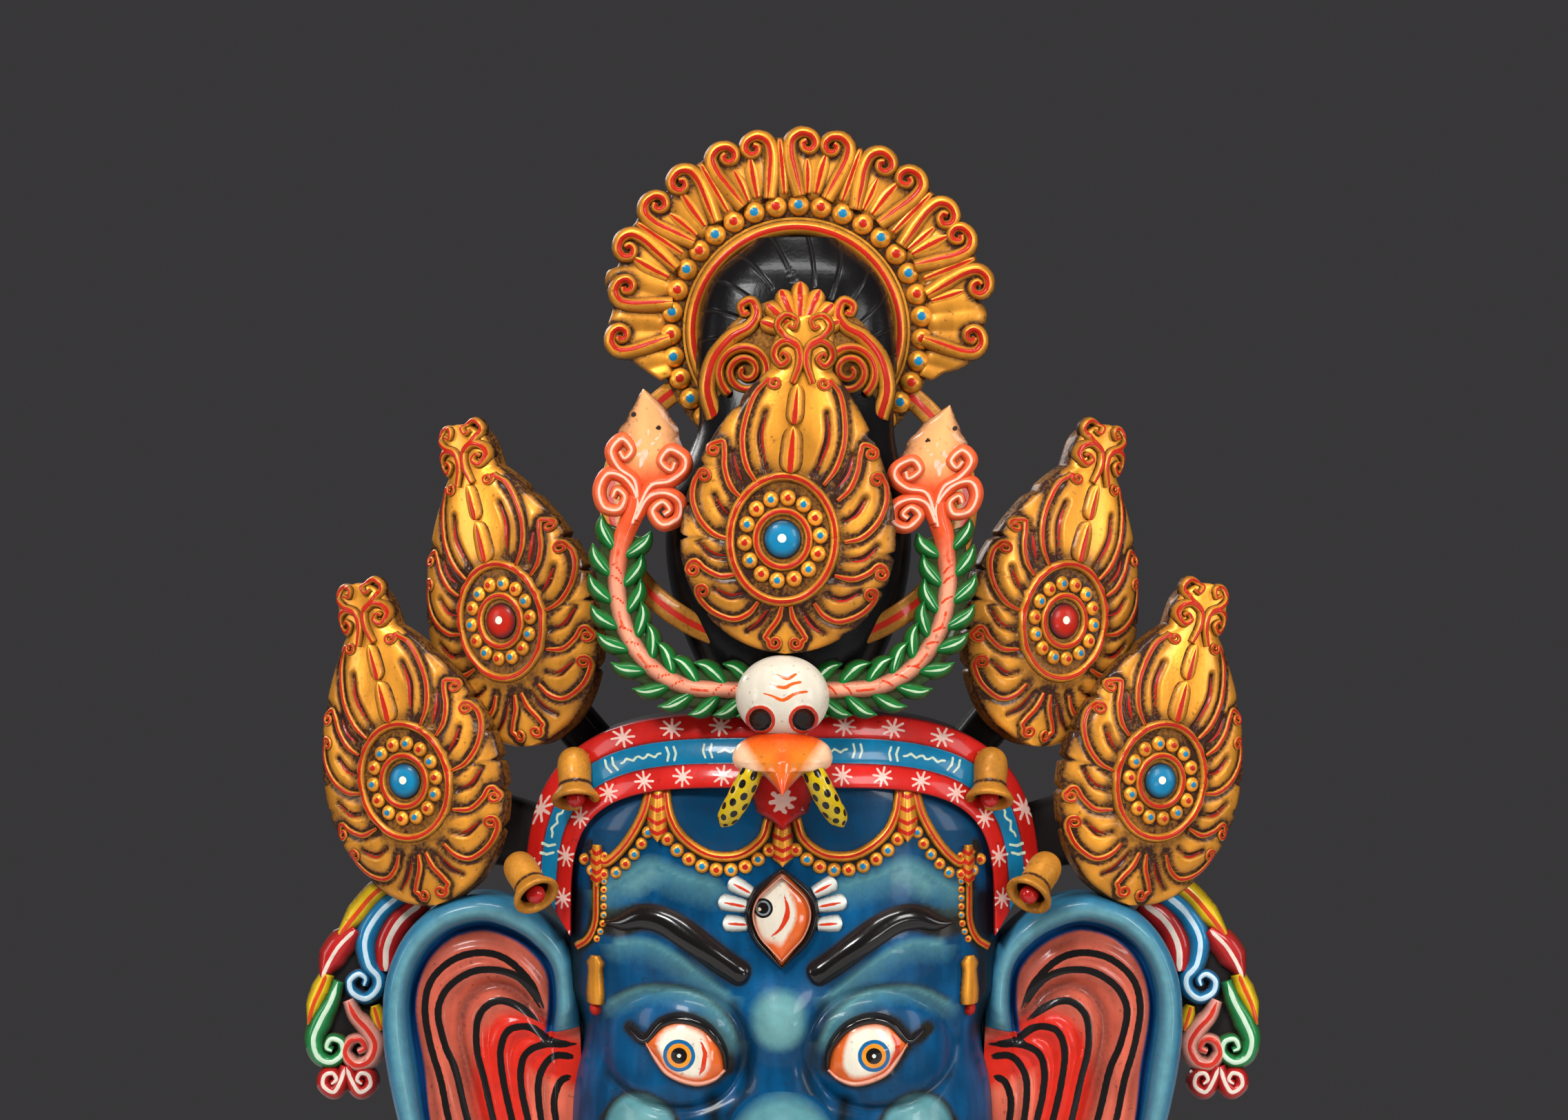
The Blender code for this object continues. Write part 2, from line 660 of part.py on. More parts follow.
def plaque(name, place, foot):
    """A thick leaf: jewel, inner ring, beads and outer ring, then fluted leaves out to a lobed edge."""
    outline = plaque_outline(foot)
    half_rate = outline[::2]
    base = PLAQUE_THICKNESS + PLAQUE_CROWN
    inner = (JEWEL_RADIUS + 0.0045, JEWEL_RADIUS + 0.0050)
    bead = tuple(mix(a, b, 0.44) for a, b in zip(inner, ROSETTE))
    rim = tuple(r * 0.93 for r in ROSETTE)

    def ring(radii, height, points=half_rate, swing=0.0):
        return [oval(radii, p) - Vector((0, height + swing * (-1) ** i, 0)) for i, p in enumerate(points)]

    def leaves(share, height, swing):
        row = []
        for i, edge in enumerate(outline):
            root = oval(ROSETTE, edge)
            lobe = edge.normalized() * PLAQUE_LOBE * (-1) ** i * share
            row.append(root.lerp(edge, share) + lobe - Vector((0, height + swing * (-1) ** i, 0)))
        return row

    loops = [
        [Vector((0, -base - 0.0075, 0))],
        ring((JEWEL_RADIUS, JEWEL_RADIUS), base + 0.0010),
        ring(inner, base + 0.0050),
        ring(bead, base + 0.0014, swing=0.0022),
        ring(rim, base + 0.0050),
        leaves(0.0, base - 0.0005, 0.0),
        leaves(0.45, mix(base, PLAQUE_THICKNESS, 0.35), 0.0020),
        leaves(0.93, PLAQUE_THICKNESS + 0.0005, 0.0010),
        [p + Vector((0, 0.0045, 0)) for p in leaves(1.0, PLAQUE_THICKNESS, 0.0)],
        [Vector((p.x, 0, p.z)) for p in leaves(0.985, 0.0, 0.0)],
    ]
    obj = solid(name, loft(loops), GOLD)
    obj.data.transform(plaque_frame(place, 1))
    return obj


# Halo, topknot, cap and hoop


def halo_point(radius, angle, depth):
    x = HALO_CENTRE[0] + radius * math.cos(math.radians(angle))
    return Vector((x, -depth, HALO_CENTRE[1] + radius * math.sin(math.radians(angle))))


def flame_tip(angle):
    """The outline of the border of flames: two curls to each flame, and nothing past the last ones."""
    start, end = HALO_FLAME_SPAN
    inside = min(angle - start, end - angle)
    bead_rim = HALO_BEAD_CIRCLE + HALO_BEAD_RADIUS
    if inside < 0:
        return bead_rim
    turn = (angle - FLAME_MIDDLE) / FLAME_PITCH
    scallop = abs(math.sin(math.pi * (turn + 0.5))) ** 0.6
    full = HALO_FLAME_TIP - 0.006 * (1 - scallop)
    return mix(bead_rim, full, min(1.0, inside / 9.0))


def halo():
    """Ring, moulding for the beads and border of flames, as one section carried round the arc."""
    start, end = HALO_BEAD_SPAN
    stations = HALO_STATIONS
    front = HALO_BACK + HALO_THICKNESS
    crest = 0.5 * (HALO_RING[0] + HALO_RING[1])
    loops = []
    for i in range(stations + 1):
        angle = mix(start, end, i / stations)
        tip = flame_tip(angle)
        has_flame = tip > HALO_FLAME_ROOT + 0.004
        flute = 0.0018 * math.cos(math.radians((angle - FLAME_MIDDLE) * 360 / FLAME_PITCH * 2))
        middle = mix(HALO_FLAME_ROOT, tip, 0.5)
        loops.append([
            halo_point(HALO_RING[0], angle, HALO_BACK),
            halo_point(HALO_RING[0], angle, front - 0.003),
            halo_point(crest, angle, front + 0.0035),
            halo_point(HALO_RING[1], angle, front - 0.002),
            halo_point(HALO_BEAD_CIRCLE, angle, front + 0.002),
            halo_point(min(HALO_FLAME_ROOT, tip), angle, front - 0.003),
            halo_point(middle if has_flame else tip, angle, front + (flute if has_flame else -0.004)),
            halo_point(tip, angle, front - 0.005),
            halo_point(tip, angle, HALO_BACK),
        ])
    return solid("halo", loft(loops), GOLD)


def topknot():
    """Level sections, flat at the back: a ball of hair below, and a smaller roll inside the halo's ring."""
    loops = []
    for z, half_width, depth in TOPKNOT_SHAPE:
        shift = mix(TOPKNOT_X, HALO_CENTRE[0], min(1.0, max(0.0, (z - 0.17) / 0.05)))
        ring = []
        for i in range(TOPKNOT_SIDES):
            angle = math.pi * i / (TOPKNOT_SIDES - 1)
            front = (depth - TOPKNOT_BACK) * math.sin(angle) ** 0.8
            ring.append((shift + half_width * math.cos(angle), -TOPKNOT_BACK - front, z))
        loops.append(ring)
    return solid("topknot", loft(loops), BLACK)


def cap():
    """The gold cap on the topknot: two scrolls that face each other under a crest of lobes."""
    outline = []
    for i in range(28):
        angle = 2 * math.pi * i / 28
        lobe = 1 + 0.05 * math.cos(7 * angle - math.pi / 2) * max(0.0, math.sin(angle))
        x = CAP_HALF_WIDTH * math.cos(angle) * lobe
        outline.append(Vector((x, 0, CAP_HALF_HEIGHT * math.sin(angle) * lobe)))
    centre = Vector((CAP_CENTRE[0], 0, CAP_CENTRE[1]))
    loops = []
    rows = ((1.0, 0.0), (1.0, CAP_THICKNESS - 0.004), (0.90, CAP_THICKNESS), (0.72, CAP_THICKNESS + 0.001))
    for share, height in rows:
        loops.append([centre + p * share - Vector((0, CAP_BACK + height, 0)) for p in outline])
    loops.append([centre - Vector((0, CAP_BACK + CAP_THICKNESS + 0.004, 0))])
    body = solid("topknot_cap", loft(loops), GOLD)
    for side in (-1, 1):
        x = CAP_CENTRE[0] + side * CAP_COIL[0]
        z = CAP_CENTRE[1] + CAP_COIL[1]
        join(body, curl_boss(x, z, CAP_COIL[2], CAP_CURL_BACK, CAP_THICKNESS + 0.004, GOLD))
    x = CAP_CENTRE[0] + CAP_CREST[0]
    z = CAP_CENTRE[1] + CAP_CREST[1]
    join(body, curl_boss(x, z, CAP_CREST[2], CAP_CURL_BACK, CAP_THICKNESS + 0.002, GOLD))
    return body


def curl_boss(x, z, radius, back, thickness, finish):
    """A round boss with a rounded rim, as the end of a scroll."""
    loops = []
    for share, height in ((1.0, 0.0), (1.0, thickness - 0.002), (0.65, thickness)):
        ring = []
        for i in range(CURL_SIDES):
            angle = 2 * math.pi * i / CURL_SIDES
            across = radius * share * math.cos(angle)
            ring.append((x + across, -back - height, z + radius * share * math.sin(angle)))
        loops.append(ring)
    return solid("curl", loft(loops), finish)


def hoop():
    """A flat ribbon that comes from behind the halo and runs round the front of the topknot."""
    loops = []
    for i in range(27):
        angle = math.radians(mix(*HOOP_SPAN, i / 26))
        out = Vector((math.cos(angle), 0, math.sin(angle)))
        centre = Vector((HOOP_CENTRE[0] + HOOP_RADII[0] * out.x, 0, HOOP_CENTRE[1] + HOOP_RADII[1] * out.z))
        front = 0.5 - 0.5 * out.z
        centre.y = -mix(HALO_BACK - CLEARANCE - HOOP_THICKNESS, HOOP_FRONT, min(1.0, front * 1.12))
        edge = out * HOOP_WIDTH / 2
        rise = Vector((0, HOOP_THICKNESS / 2, 0))
        inner = centre - edge
        outer = centre + edge
        loops.append([inner - rise, outer - rise, outer + rise, inner + rise])
    return solid("hoop", loft(loops), GOLD)


# Sprays, skull, bells


def spray(name):
    """A curved stem with a fringe of leaves on both sides, and scrolls with a pointed leaf at its head."""
    stations = 2 * SPRAY_LEAVES + 1
    line = evenly(smooth_through([(x, 0, z) for x, z in SPRAY_STEM_PATH], 5), stations)
    loops = []
    for i, centre in enumerate(line):
        ahead = (line[min(i + 1, stations - 1)] - line[max(i - 1, 0)]).normalized()
        out = Vector((ahead.z, 0, -ahead.x))
        growth = min(1.0, 0.4 + 0.6 * i / 4)
        reach = SPRAY_STEM + SPRAY_LEAF * growth * (1.0 if i % 2 else 0.62)

        def at(offset, height, centre=centre, out=out, ahead=ahead):
            return centre + out * offset + ahead * 0.2 * abs(offset) - Vector((0, SPRAY_BACK + height, 0))

        loops.append([
            at(reach, 0.0), at(reach, 0.6 * SPRAY_THICKNESS), at(SPRAY_STEM, 0.72 * SPRAY_THICKNESS),
            at(0.6 * SPRAY_STEM, SPRAY_THICKNESS), at(-0.6 * SPRAY_STEM, SPRAY_THICKNESS),
            at(-SPRAY_STEM, 0.72 * SPRAY_THICKNESS), at(-reach, 0.6 * SPRAY_THICKNESS), at(-reach, 0.0),
        ])
    body = solid(name, loft(loops), GREEN)
    for x, z, radius in SPRAY_CURLS:
        join(body, curl_boss(x, z, radius, SPRAY_BACK, SPRAY_THICKNESS + 0.001, RED))
    join(body, spray_tip())
    return body


def spray_tip():
    """The pale pointed leaf above the scrolls."""
    root_z = SPRAY_CURLS[0][1] - 0.004
    tip_x, tip_z = SPRAY_LEAF_TIP
    right = []
    for i in range(8):
        t = i / 8
        width = SPRAY_TIP_HALF_WIDTH * math.sin(math.pi * min(1.0, 0.35 + 0.65 * t)) ** 0.8
        right.append(Vector((max(width, 0.4 * SPRAY_TIP_HALF_WIDTH * (t < 0.5)), 0, mix(root_z, tip_z, t))))
    outline = [*right, Vector((0, 0, tip_z)), *[Vector((-p.x, 0, p.z)) for p in reversed(right)]]
    loops = []
    for share, height in ((1.0, 0.0), (1.0, 0.7 * SPRAY_THICKNESS), (0.7, 0.9 * SPRAY_THICKNESS)):
        middle = Vector((0, 0, mix(root_z, tip_z, 0.45)))
        shift = Vector((tip_x, -SPRAY_BACK - height, 0))
        loops.append([shift + middle.lerp(p, share) for p in outline])
    return solid("spray_tip", loft(loops), RED)


def skull():
    """A round skull with two sunk sockets, a hooked beak, and the two ends of a snake out of the beak."""
    centre = Vector(SKULL_CENTRE)
    bm = bmesh.new()
    bmesh.ops.create_uvsphere(bm, u_segments=12, v_segments=8, radius=SKULL_RADIUS)
    bmesh.ops.translate(bm, vec=centre, verts=bm.verts)
    body = solid("bird_skull", bm, WHITE)
    sockets = []
    for side in (-1, 1):
        bm = bmesh.new()
        bmesh.ops.create_icosphere(bm, subdivisions=1, radius=SOCKET_RADIUS)
        bmesh.ops.translate(bm, vec=centre + Vector((side * SOCKET_PLACE[0], *SOCKET_PLACE[1:])), verts=bm.verts)
        sockets.append(solid("socket", bm, BLACK))
    cut(body, *sockets)
    join(body, beak(), snake(-1), snake(1))
    return body


def beak():
    """An arched upper bill that narrows to a hook."""
    loops = []
    tip = Vector(BEAK_TIP)
    for t, width, rise in ((0.0, 0.92, 0.0), (0.22, 1.0, 0.016), (0.45, 0.92, 0.024), (0.72, 0.42, 0.032)):
        z = mix(BEAK_TOP_Z, tip.z, t)
        ring = []
        for i in range(10):
            angle = 2 * math.pi * i / 10
            u = BEAK_HALF_WIDTH * width * math.cos(angle)
            droop = 0.010 * (u / BEAK_HALF_WIDTH) ** 2 * t
            depth = BEAK_DEPTH * (1 - 0.35 * t) * math.sin(angle)
            ring.append(Vector((u, SKULL_CENTRE[1] - 0.008 - rise * 0.7 + depth, z + droop * 2)))
        loops.append(ring)
    loops.append([tip])
    return solid("beak", loft(loops), RED)


def snake(side):
    line = smooth_through([(side * x, y, z) for x, y, z in SNAKE_PATH], 2)
    widths = [SNAKE_RADIUS * (1.0 if i < len(line) - 1 else 0.5) for i in range(len(line))]
    return solid("snake", tube(line, widths, 8), GOLD)


def bell(name, place):
    """A turned bell with a thick lip, and its clapper carved in the mouth."""
    mouth, direction = Vector(place[0]), Vector(place[1]).normalized()
    inside = BELL_MOUTH - BELL_WALL
    profile = (
        (0.0, 0.001), (CLAPPER_RADIUS, 0.001 - CLAPPER_RADIUS * 0.5),
        (CLAPPER_RADIUS, -0.010), (inside, -0.010),
        (inside, -0.001), (BELL_MOUTH, 0.0), (BELL_MOUTH * 0.98, -0.006), (BELL_BODY, -0.016),
        (BELL_BODY, -BELL_LENGTH + 0.008), (BELL_BODY * 0.6, -BELL_LENGTH), (0.0, -BELL_LENGTH),
    )
    side = direction.orthogonal().normalized()
    other = direction.cross(side)
    loops = []
    for radius, along in profile:
        if radius == 0:
            loops.append([mouth + direction * along])
            continue
        angles = [2 * math.pi * i / BELL_SIDES for i in range(BELL_SIDES)]
        middle = mouth + direction * along
        loops.append([middle + radius * (side * math.cos(a) + other * math.sin(a)) for a in angles])
    return solid(name, loft(loops), GOLD)


# Ears and plumes


def ear(name):
    """A dished ear: a rolled rim but for the side of the cheek, a groove, and swelling folds inside."""
    path = smooth_through([(x, 0, z) for x, z in (*EAR_PATH, EAR_PATH[0])], 5)
    outline = evenly(path[:-1], EAR_POINTS, closed=True)
    centre = Vector((EAR_CENTRE[0], 0, EAR_CENTRE[1]))
    rows = []
    for inset, depth in (
        (0.0, EAR_BACK), (0.0, EAR_RIM_DEPTH - 0.016), (0.45, EAR_RIM_DEPTH), (1.0, EAR_RIM_DEPTH - 0.020),
        (1.25, EAR_RIM_DEPTH - 0.012), (2.1, EAR_RIM_DEPTH - 0.010), (2.7, EAR_RIM_DEPTH - 0.018),
    ):
        row = []
        for p in outline:
            inward = centre - p
            cheek_side = p.x < 0.150 and p.z < -0.205
            step = min(inset * EAR_RIM_WIDTH, 0.9 * inward.length)
            low = 0.016 if cheek_side and inset < 1 and depth > EAR_BACK else 0.0
            row.append(p + inward.normalized() * step - Vector((0, depth - low, 0)))
        rows.append(row)
    rows.append([centre - Vector((0, EAR_RIM_DEPTH - 0.006, 0))])
    return solid(name, loft(rows), EAR_BLUE)


def ribbon(start, bend, end, half_width):
    """A crowned ribbon along a bow, broadest at its middle."""
    a, b, c = (Vector((p[0], 0, p[1])) for p in (start, bend, end))
    line = evenly(smooth_through([a, b, c], 4), RIBBON_STATIONS)
    loops = []
    for i, centre in enumerate(line):
        ahead = (line[min(i + 1, len(line) - 1)] - line[max(i - 1, 0)]).normalized()
        out = Vector((ahead.z, 0, -ahead.x))
        width = half_width * (0.55 + 0.45 * math.sin(math.pi * i / (len(line) - 1)))
        heights = ((1.0, 0.0), (0.5, 1.0), (-0.5, 1.0), (-1.0, 0.0))
        back = centre - Vector((0, PLUME_BACK, 0))
        rise = Vector((0, -PLUME_THICKNESS, 0))
        loops.append([back + out * width * u + rise * h for u, h in heights])
    return solid("ribbon", loft(loops), RED)


def plume(name):
    parts = [ribbon(*shape) for shape in PLUME_RIBBONS.values()]
    parts += [curl_boss(x, z, radius, PLUME_BACK, PLUME_THICKNESS, GREEN) for x, z, radius in PLUME_CURLS]
    body = parts[1]
    body.name = name
    join(body, *[part for part in parts if part is not body])
    return body


def both_sides(make, name, *arguments):
    """A piece at +X and its mirror image at -X, named as the viewer sees them."""
    right = make(f"{name}_right", *arguments)
    return mirrored(right, f"{name}_left"), right


def main():
    clear_scene()
    head = head_block()
    bird = skull()
    middle = plaque("middle_plaque", MIDDLE_PLAQUE, MIDDLE_FOOT)
    sprays = both_sides(spray, "leaf_spray")
    upper = both_sides(plaque, "upper_plaque", UPPER_PLAQUE, SIDE_FOOT)
    lower = both_sides(plaque, "lower_plaque", LOWER_PLAQUE, SIDE_FOOT)
    upper_bells = both_sides(bell, "upper_bell", UPPER_BELL)
    lower_bells = both_sides(bell, "lower_bell", LOWER_BELL)
    knot_cap, ring, band, knot = cap(), halo(), hoop(), topknot()
    ears = both_sides(ear, "ear")
    plumes = both_sides(plume, "plume")

    let_in(middle, bird)
    let_in(knot_cap, middle, ring)
    let_in(band, ring)
    for i in range(2):
        let_in(sprays[i], bird, middle, band)
        let_in(upper[i], sprays[i], upper_bells[i])
        let_in(lower[i], upper[i], lower_bells[i], upper_bells[i])
    let_in(knot, bird, middle, knot_cap, ring, band, *sprays)
    cut(head, hollow())
    let_in(head, knot, middle, bird, *sprays, *upper, *lower, *upper_bells, *lower_bells)
    for i in range(2):
        let_in(ears[i], head, lower[i], lower_bells[i])
        let_in(plumes[i], ears[i], lower[i], head)


main()
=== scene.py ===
# %% [markdown]
# # A painted wooden elephant-headed mask
# The mask is about 85 cm tall and is carved from soft wood, in blocks set on one another: a head, five
# crown plaques, a topknot with its halo, sprays of leaves, bells, ears and plumes. Every surface is
# gouge-cut relief under hand-brushed paint, and the paint is what the eye sees first. So each carved piece
# is a set of closed skins worked out with numpy, and each skin carries, beside its shape, how far every
# point is from each painted line. A shader then turns those distances into crisp brush strokes.

# %% Open the fixed frame
from functools import partial

import bpy
import numpy as np
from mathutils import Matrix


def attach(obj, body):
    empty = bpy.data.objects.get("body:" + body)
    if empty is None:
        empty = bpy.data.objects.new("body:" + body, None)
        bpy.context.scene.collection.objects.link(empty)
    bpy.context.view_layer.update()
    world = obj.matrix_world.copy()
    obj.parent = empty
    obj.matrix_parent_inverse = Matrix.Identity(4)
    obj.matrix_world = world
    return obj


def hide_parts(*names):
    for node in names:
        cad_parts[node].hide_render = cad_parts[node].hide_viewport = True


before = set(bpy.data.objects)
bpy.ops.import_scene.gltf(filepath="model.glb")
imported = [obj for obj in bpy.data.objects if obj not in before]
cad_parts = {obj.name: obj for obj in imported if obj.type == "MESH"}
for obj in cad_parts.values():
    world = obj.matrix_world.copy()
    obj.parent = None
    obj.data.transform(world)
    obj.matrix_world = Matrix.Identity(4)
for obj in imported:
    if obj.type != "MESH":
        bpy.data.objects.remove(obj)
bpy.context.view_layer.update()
MM = 0.001

# %% [markdown]
# ## Camera, light and floor
# The photo is taken square on, so a long lens stands level with the crown. The frame is 2274 pixels wide,
# and a pixel is 0.47 mm where the plaques are, which gives the lens. Large soft lamps stand all round,
# because the model is looked at from every side, and the gold mirrors the wide front ones. The world is
# dark grey as the studio was.

# %% Camera and studio
CAMERA_DISTANCE = 2.6
CAMERA_X, CAMERA_Z = 0.001, 0.126
PLAQUE_DEPTH = 0.08
PIXEL = 0.47 * MM
FRAME_PIXELS = 2274
SENSOR = 36.0
STUDIO_GREY = (0.040, 0.038, 0.040, 1)

scene = bpy.context.scene
scene.view_settings.view_transform = "Standard"
camera_data = bpy.data.cameras.new("camera")
camera_data.sensor_width = SENSOR
camera_data.lens = SENSOR * (CAMERA_DISTANCE - PLAQUE_DEPTH) / (FRAME_PIXELS * PIXEL)
camera = bpy.data.objects.new("camera", camera_data)
camera.location = (CAMERA_X, -CAMERA_DISTANCE, CAMERA_Z)
camera.rotation_euler = (np.pi / 2, 0, 0)
scene.collection.objects.link(camera)
scene.camera = camera
print("camera lens", round(camera_data.lens, 1), "mm")

world = bpy.data.worlds.new("studio")
world.use_nodes = True
backdrop = world.node_tree.nodes["Background"]
backdrop.inputs["Color"].default_value = STUDIO_GREY
backdrop.inputs["Strength"].default_value = 1.0
scene.world = world


# %% Soft lamps
def soft_lamp(name, place, aim, width, height, power):
    """A rectangular lamp at a place, facing another point, that the camera doesn't see."""
    data = bpy.data.lights.new(name, "AREA")
    data.shape = "RECTANGLE"
    data.size, data.size_y, data.energy = width, height, power
    lamp = bpy.data.objects.new(name, data)
    lamp.location = place
    away = lamp.location - type(lamp.location)(aim)
    lamp.rotation_euler = away.to_track_quat("Z", "Y").to_euler()
    lamp.visible_camera = False
    scene.collection.objects.link(lamp)


MIDDLE = (0, -0.1, 0)
LAMPS = (
    ("key lamp", (-1.0, -2.2, 1.7), 0.7, 0.5, 58),
    ("fill lamp", (1.4, -2.1, 0.9), 0.6, 0.8, 28),
    ("low lamp", (1.3, -2.0, -0.42), 0.4, 0.3, 5),
    ("top lamp", (0.0, -1.0, 1.9), 1.0, 0.3, 26),
    ("left lamp", (-2.2, -0.9, 0.4), 0.5, 1.0, 12),
    ("right lamp", (2.2, -0.9, 0.4), 0.5, 1.0, 12),
    ("back lamp", (-1.4, 1.9, 1.3), 0.9, 0.9, 34),
)
for name, place, width, height, power in LAMPS:
    soft_lamp(name, place, MIDDLE, width, height, power)
print(len(LAMPS), "lamps,", sum(power for *_, power in LAMPS), "watts in all")


# %% Pale floor
def once_round(count):
    """Angles at even steps once round a circle."""
    return np.linspace(0, 2 * np.pi, count, endpoint=False)


def xyz(x, y, z):
    """Three grids as one array of points; a number or a smaller grid is repeated to fit."""
    return np.stack(np.broadcast_arrays(x, y, z), axis=-1)


FLOOR_Z, FLOOR_RADIUS, FLOOR_SIDES = -0.52, 1.3, 96
FLOOR_COLOUR, FLOOR_ROUGHNESS = (0.62, 0.61, 0.60, 1), 0.7

turn = once_round(FLOOR_SIDES)
edge = xyz(FLOOR_RADIUS * np.cos(turn), FLOOR_RADIUS * np.sin(turn), FLOOR_Z)
floor_mesh = bpy.data.meshes.new("floor")
floor_mesh.from_pydata(edge.tolist(), [], [list(range(FLOOR_SIDES))])
floor = bpy.data.objects.new("floor", floor_mesh)
scene.collection.objects.link(floor)
floor_paint = bpy.data.materials.new("pale floor")
floor_paint.use_nodes = True
floor_shader = floor_paint.node_tree.nodes["Principled BSDF"]
floor_shader.inputs["Base Color"].default_value = FLOOR_COLOUR
floor_shader.inputs["Roughness"].default_value = FLOOR_ROUGHNESS
floor_mesh.materials.append(floor_paint)
print("floor at", FLOOR_Z, "m")

# %% [markdown]
# ## Skins and marks
# A carved form here is always a row of closed rings: a bead, a scroll, a leaf, a plaque and a trunk differ
# only in what their rings do. A ring model can't leave holes, needs no modifiers, and lets numpy place
# every point at once. A mark is a number at each point that tells the shader how many millimetres the
# point lies outside a painted shape, and below zero means inside. One mark, from 0 to 1, says how deep in
# the carving a point lies: brown wash and dirt stay there, and the same dark colour paints the shade of
# recesses, creases and edges there.

# %% Rings and their marks
FAR = 16.0
MARKS = ("hollow", "red", "blue", "white", "black", "green", "pale")


def part(rings, **marks):
    """A skin to be: rings as an array of (rings, points round, xyz), and its marks by name.

    A mark that isn't given is far from any paint, and no wash or painted shade lies on the wood there.
    """
    rings = np.asarray(rings, float)
    filled = {}
    for name in MARKS:
        value = marks.get(name, 0.0 if name == "hollow" else FAR)
        filled[name] = np.broadcast_to(np.asarray(value, float), rings.shape[:2])
    return {"rings": rings, "marks": filled}


def skin_faces(rings):
    """Corners of the quads between rings and of the fan that closes each end, turned so that they face out.

    The volume is the sum over faces of a corner dotted with the cross of the next two, and its sign tells
    whether the faces point in.
    """
    count, around = rings.shape[:2]
    index = np.arange(count * around).reshape(count, around)
    after = np.roll(index, -1, axis=1)
    quads = np.stack([index[:-1], after[:-1], after[1:], index[1:]], axis=-1).reshape(-1, 4)
    first, last = count * around, count * around + 1
    fans = np.concatenate([
        np.stack([np.full(around, first), after[0], index[0]], axis=-1),
        np.stack([np.full(around, last), index[-1], after[-1]], axis=-1),
    ])
    points = np.concatenate([rings.reshape(-1, 3), [rings[0].mean(0), rings[-1].mean(0)]])
    triangles = np.concatenate([quads[:, :3], quads[:, [0, 2, 3]], fans])
    a, b, c = (points[triangles[:, k]] for k in range(3))
    if np.einsum("ij,ij->i", a, np.cross(b, c)).sum() < 0:
        quads, fans = quads[:, ::-1], fans[:, ::-1]
    return points, quads, fans


print("marks on every piece:", ", ".join(MARKS))


# %% Skins into one mesh
def joined_mesh(name, parts):
    """One mesh of all the skins: every quad first, then every fan."""
    points, quads, fans = [], [], []
    offset = 0
    for each in parts:
        its_points, its_quads, its_fans = skin_faces(each["rings"])
        points.append(its_points)
        quads.append(its_quads + offset)
        fans.append(its_fans + offset)
        offset += len(its_points)
    points, quads, fans = (np.concatenate(group) for group in (points, quads, fans))
    mesh = bpy.data.meshes.new(name)
    mesh.vertices.add(len(points))
    mesh.vertices.foreach_set("co", points.astype(np.float32).ravel())
    corners = np.concatenate([quads.ravel(), fans.ravel()])
    mesh.loops.add(len(corners))
    mesh.loops.foreach_set("vertex_index", corners.astype(np.int32))
    starts = np.concatenate([np.arange(len(quads)) * 4, len(quads) * 4 + np.arange(len(fans)) * 3])
    mesh.polygons.add(len(starts))
    mesh.polygons.foreach_set("loop_start", starts.astype(np.int32))
    mesh.update(calc_edges=True)
    mesh.shade_smooth()
    print(name, len(quads) * 2 + len(fans), "triangles")
    return mesh


def write_marks(mesh, parts):
    """Each mark becomes an attribute; the middle point of an end has the mean of its ring."""
    for mark in MARKS:
        values = []
        for each in parts:
            grid = each["marks"][mark]
            values.append(np.append(grid.ravel(), [grid[0].mean(), grid[-1].mean()]))
        attribute = mesh.attributes.new(mark, "FLOAT", "POINT")
        attribute.data.foreach_set("value", np.concatenate(values).astype(np.float32))


def write_paints(mesh, parts, material):
    """Give each skin its own paint, or the piece's where it has none."""
    worn = [each.get("paint", material) for each in parts]
    paints = list(dict.fromkeys([material, *worn]))
    chosen = [paints.index(paint) for paint in worn]
    for paint in paints:
        mesh.materials.append(paint)
    shapes = [each["rings"].shape for each in parts]
    quad_counts = [(count - 1) * around for count, around, _ in shapes]
    fan_counts = [2 * around for _, around, _ in shapes]
    slots = np.concatenate([np.repeat(chosen, quad_counts), np.repeat(chosen, fan_counts)])
    mesh.polygons.foreach_set("material_index", slots.astype(np.int32))


def piece(name, parts, material, slot, *nodes):
    """One mesh of all the parts, which stands for the solid's nodes and rides on the mask."""
    mesh = joined_mesh(name, parts)
    write_marks(mesh, parts)
    write_paints(mesh, parts, material)
    made = bpy.data.objects.new(name, mesh)
    scene.collection.objects.link(made)
    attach(made, "root")
    if nodes:
        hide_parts(*nodes)
    return made


def in_paint(material, *parts):
    """The parts with a material of their own."""
    return [{**each, "paint": material} for each in parts]


# %% [markdown]
# ## Lines, straps and studs
# A carver draws a line and works along it, and so do these helpers. A line is a few chosen points, joined
# by a smooth curve. A strap is a band of wood left standing along a line, and makes ribs, scrolls, leaves,
# lids and cords. A stroke is the same line as paint: the distance from it. A stud is a low dome on a short
# neck.

# %% Lines to carve and paint along
STEPS_BETWEEN = 12


def travelled(line):
    """How far along a line each of its points is: the steps before it, added up."""
    return np.concatenate([[0], np.cumsum(np.linalg.norm(np.diff(line, axis=0), axis=1))])


def through(points, count):
    """A smooth line through the points (Catmull-Rom), resampled at even distances."""
    points = np.asarray(points, float)
    ends = np.concatenate([[2 * points[0] - points[1]], points, [2 * points[-1] - points[-2]]])
    t = np.linspace(0, 1, STEPS_BETWEEN, endpoint=False)[:, None]
    bits = []
    for a, b, c, d in zip(ends, ends[1:], ends[2:], ends[3:]):
        bend = (2 * a - 5 * b + 4 * c - d) * t**2
        twist = (3 * b - a - 3 * c + d) * t**3
        bits.append(0.5 * (2 * b + (c - a) * t + bend + twist))
    line = np.concatenate([*bits, points[-1:]])
    length = travelled(line)
    even = np.linspace(0, length[-1], count)
    return np.stack([np.interp(even, length, line[:, k]) for k in range(line.shape[1])], axis=1)


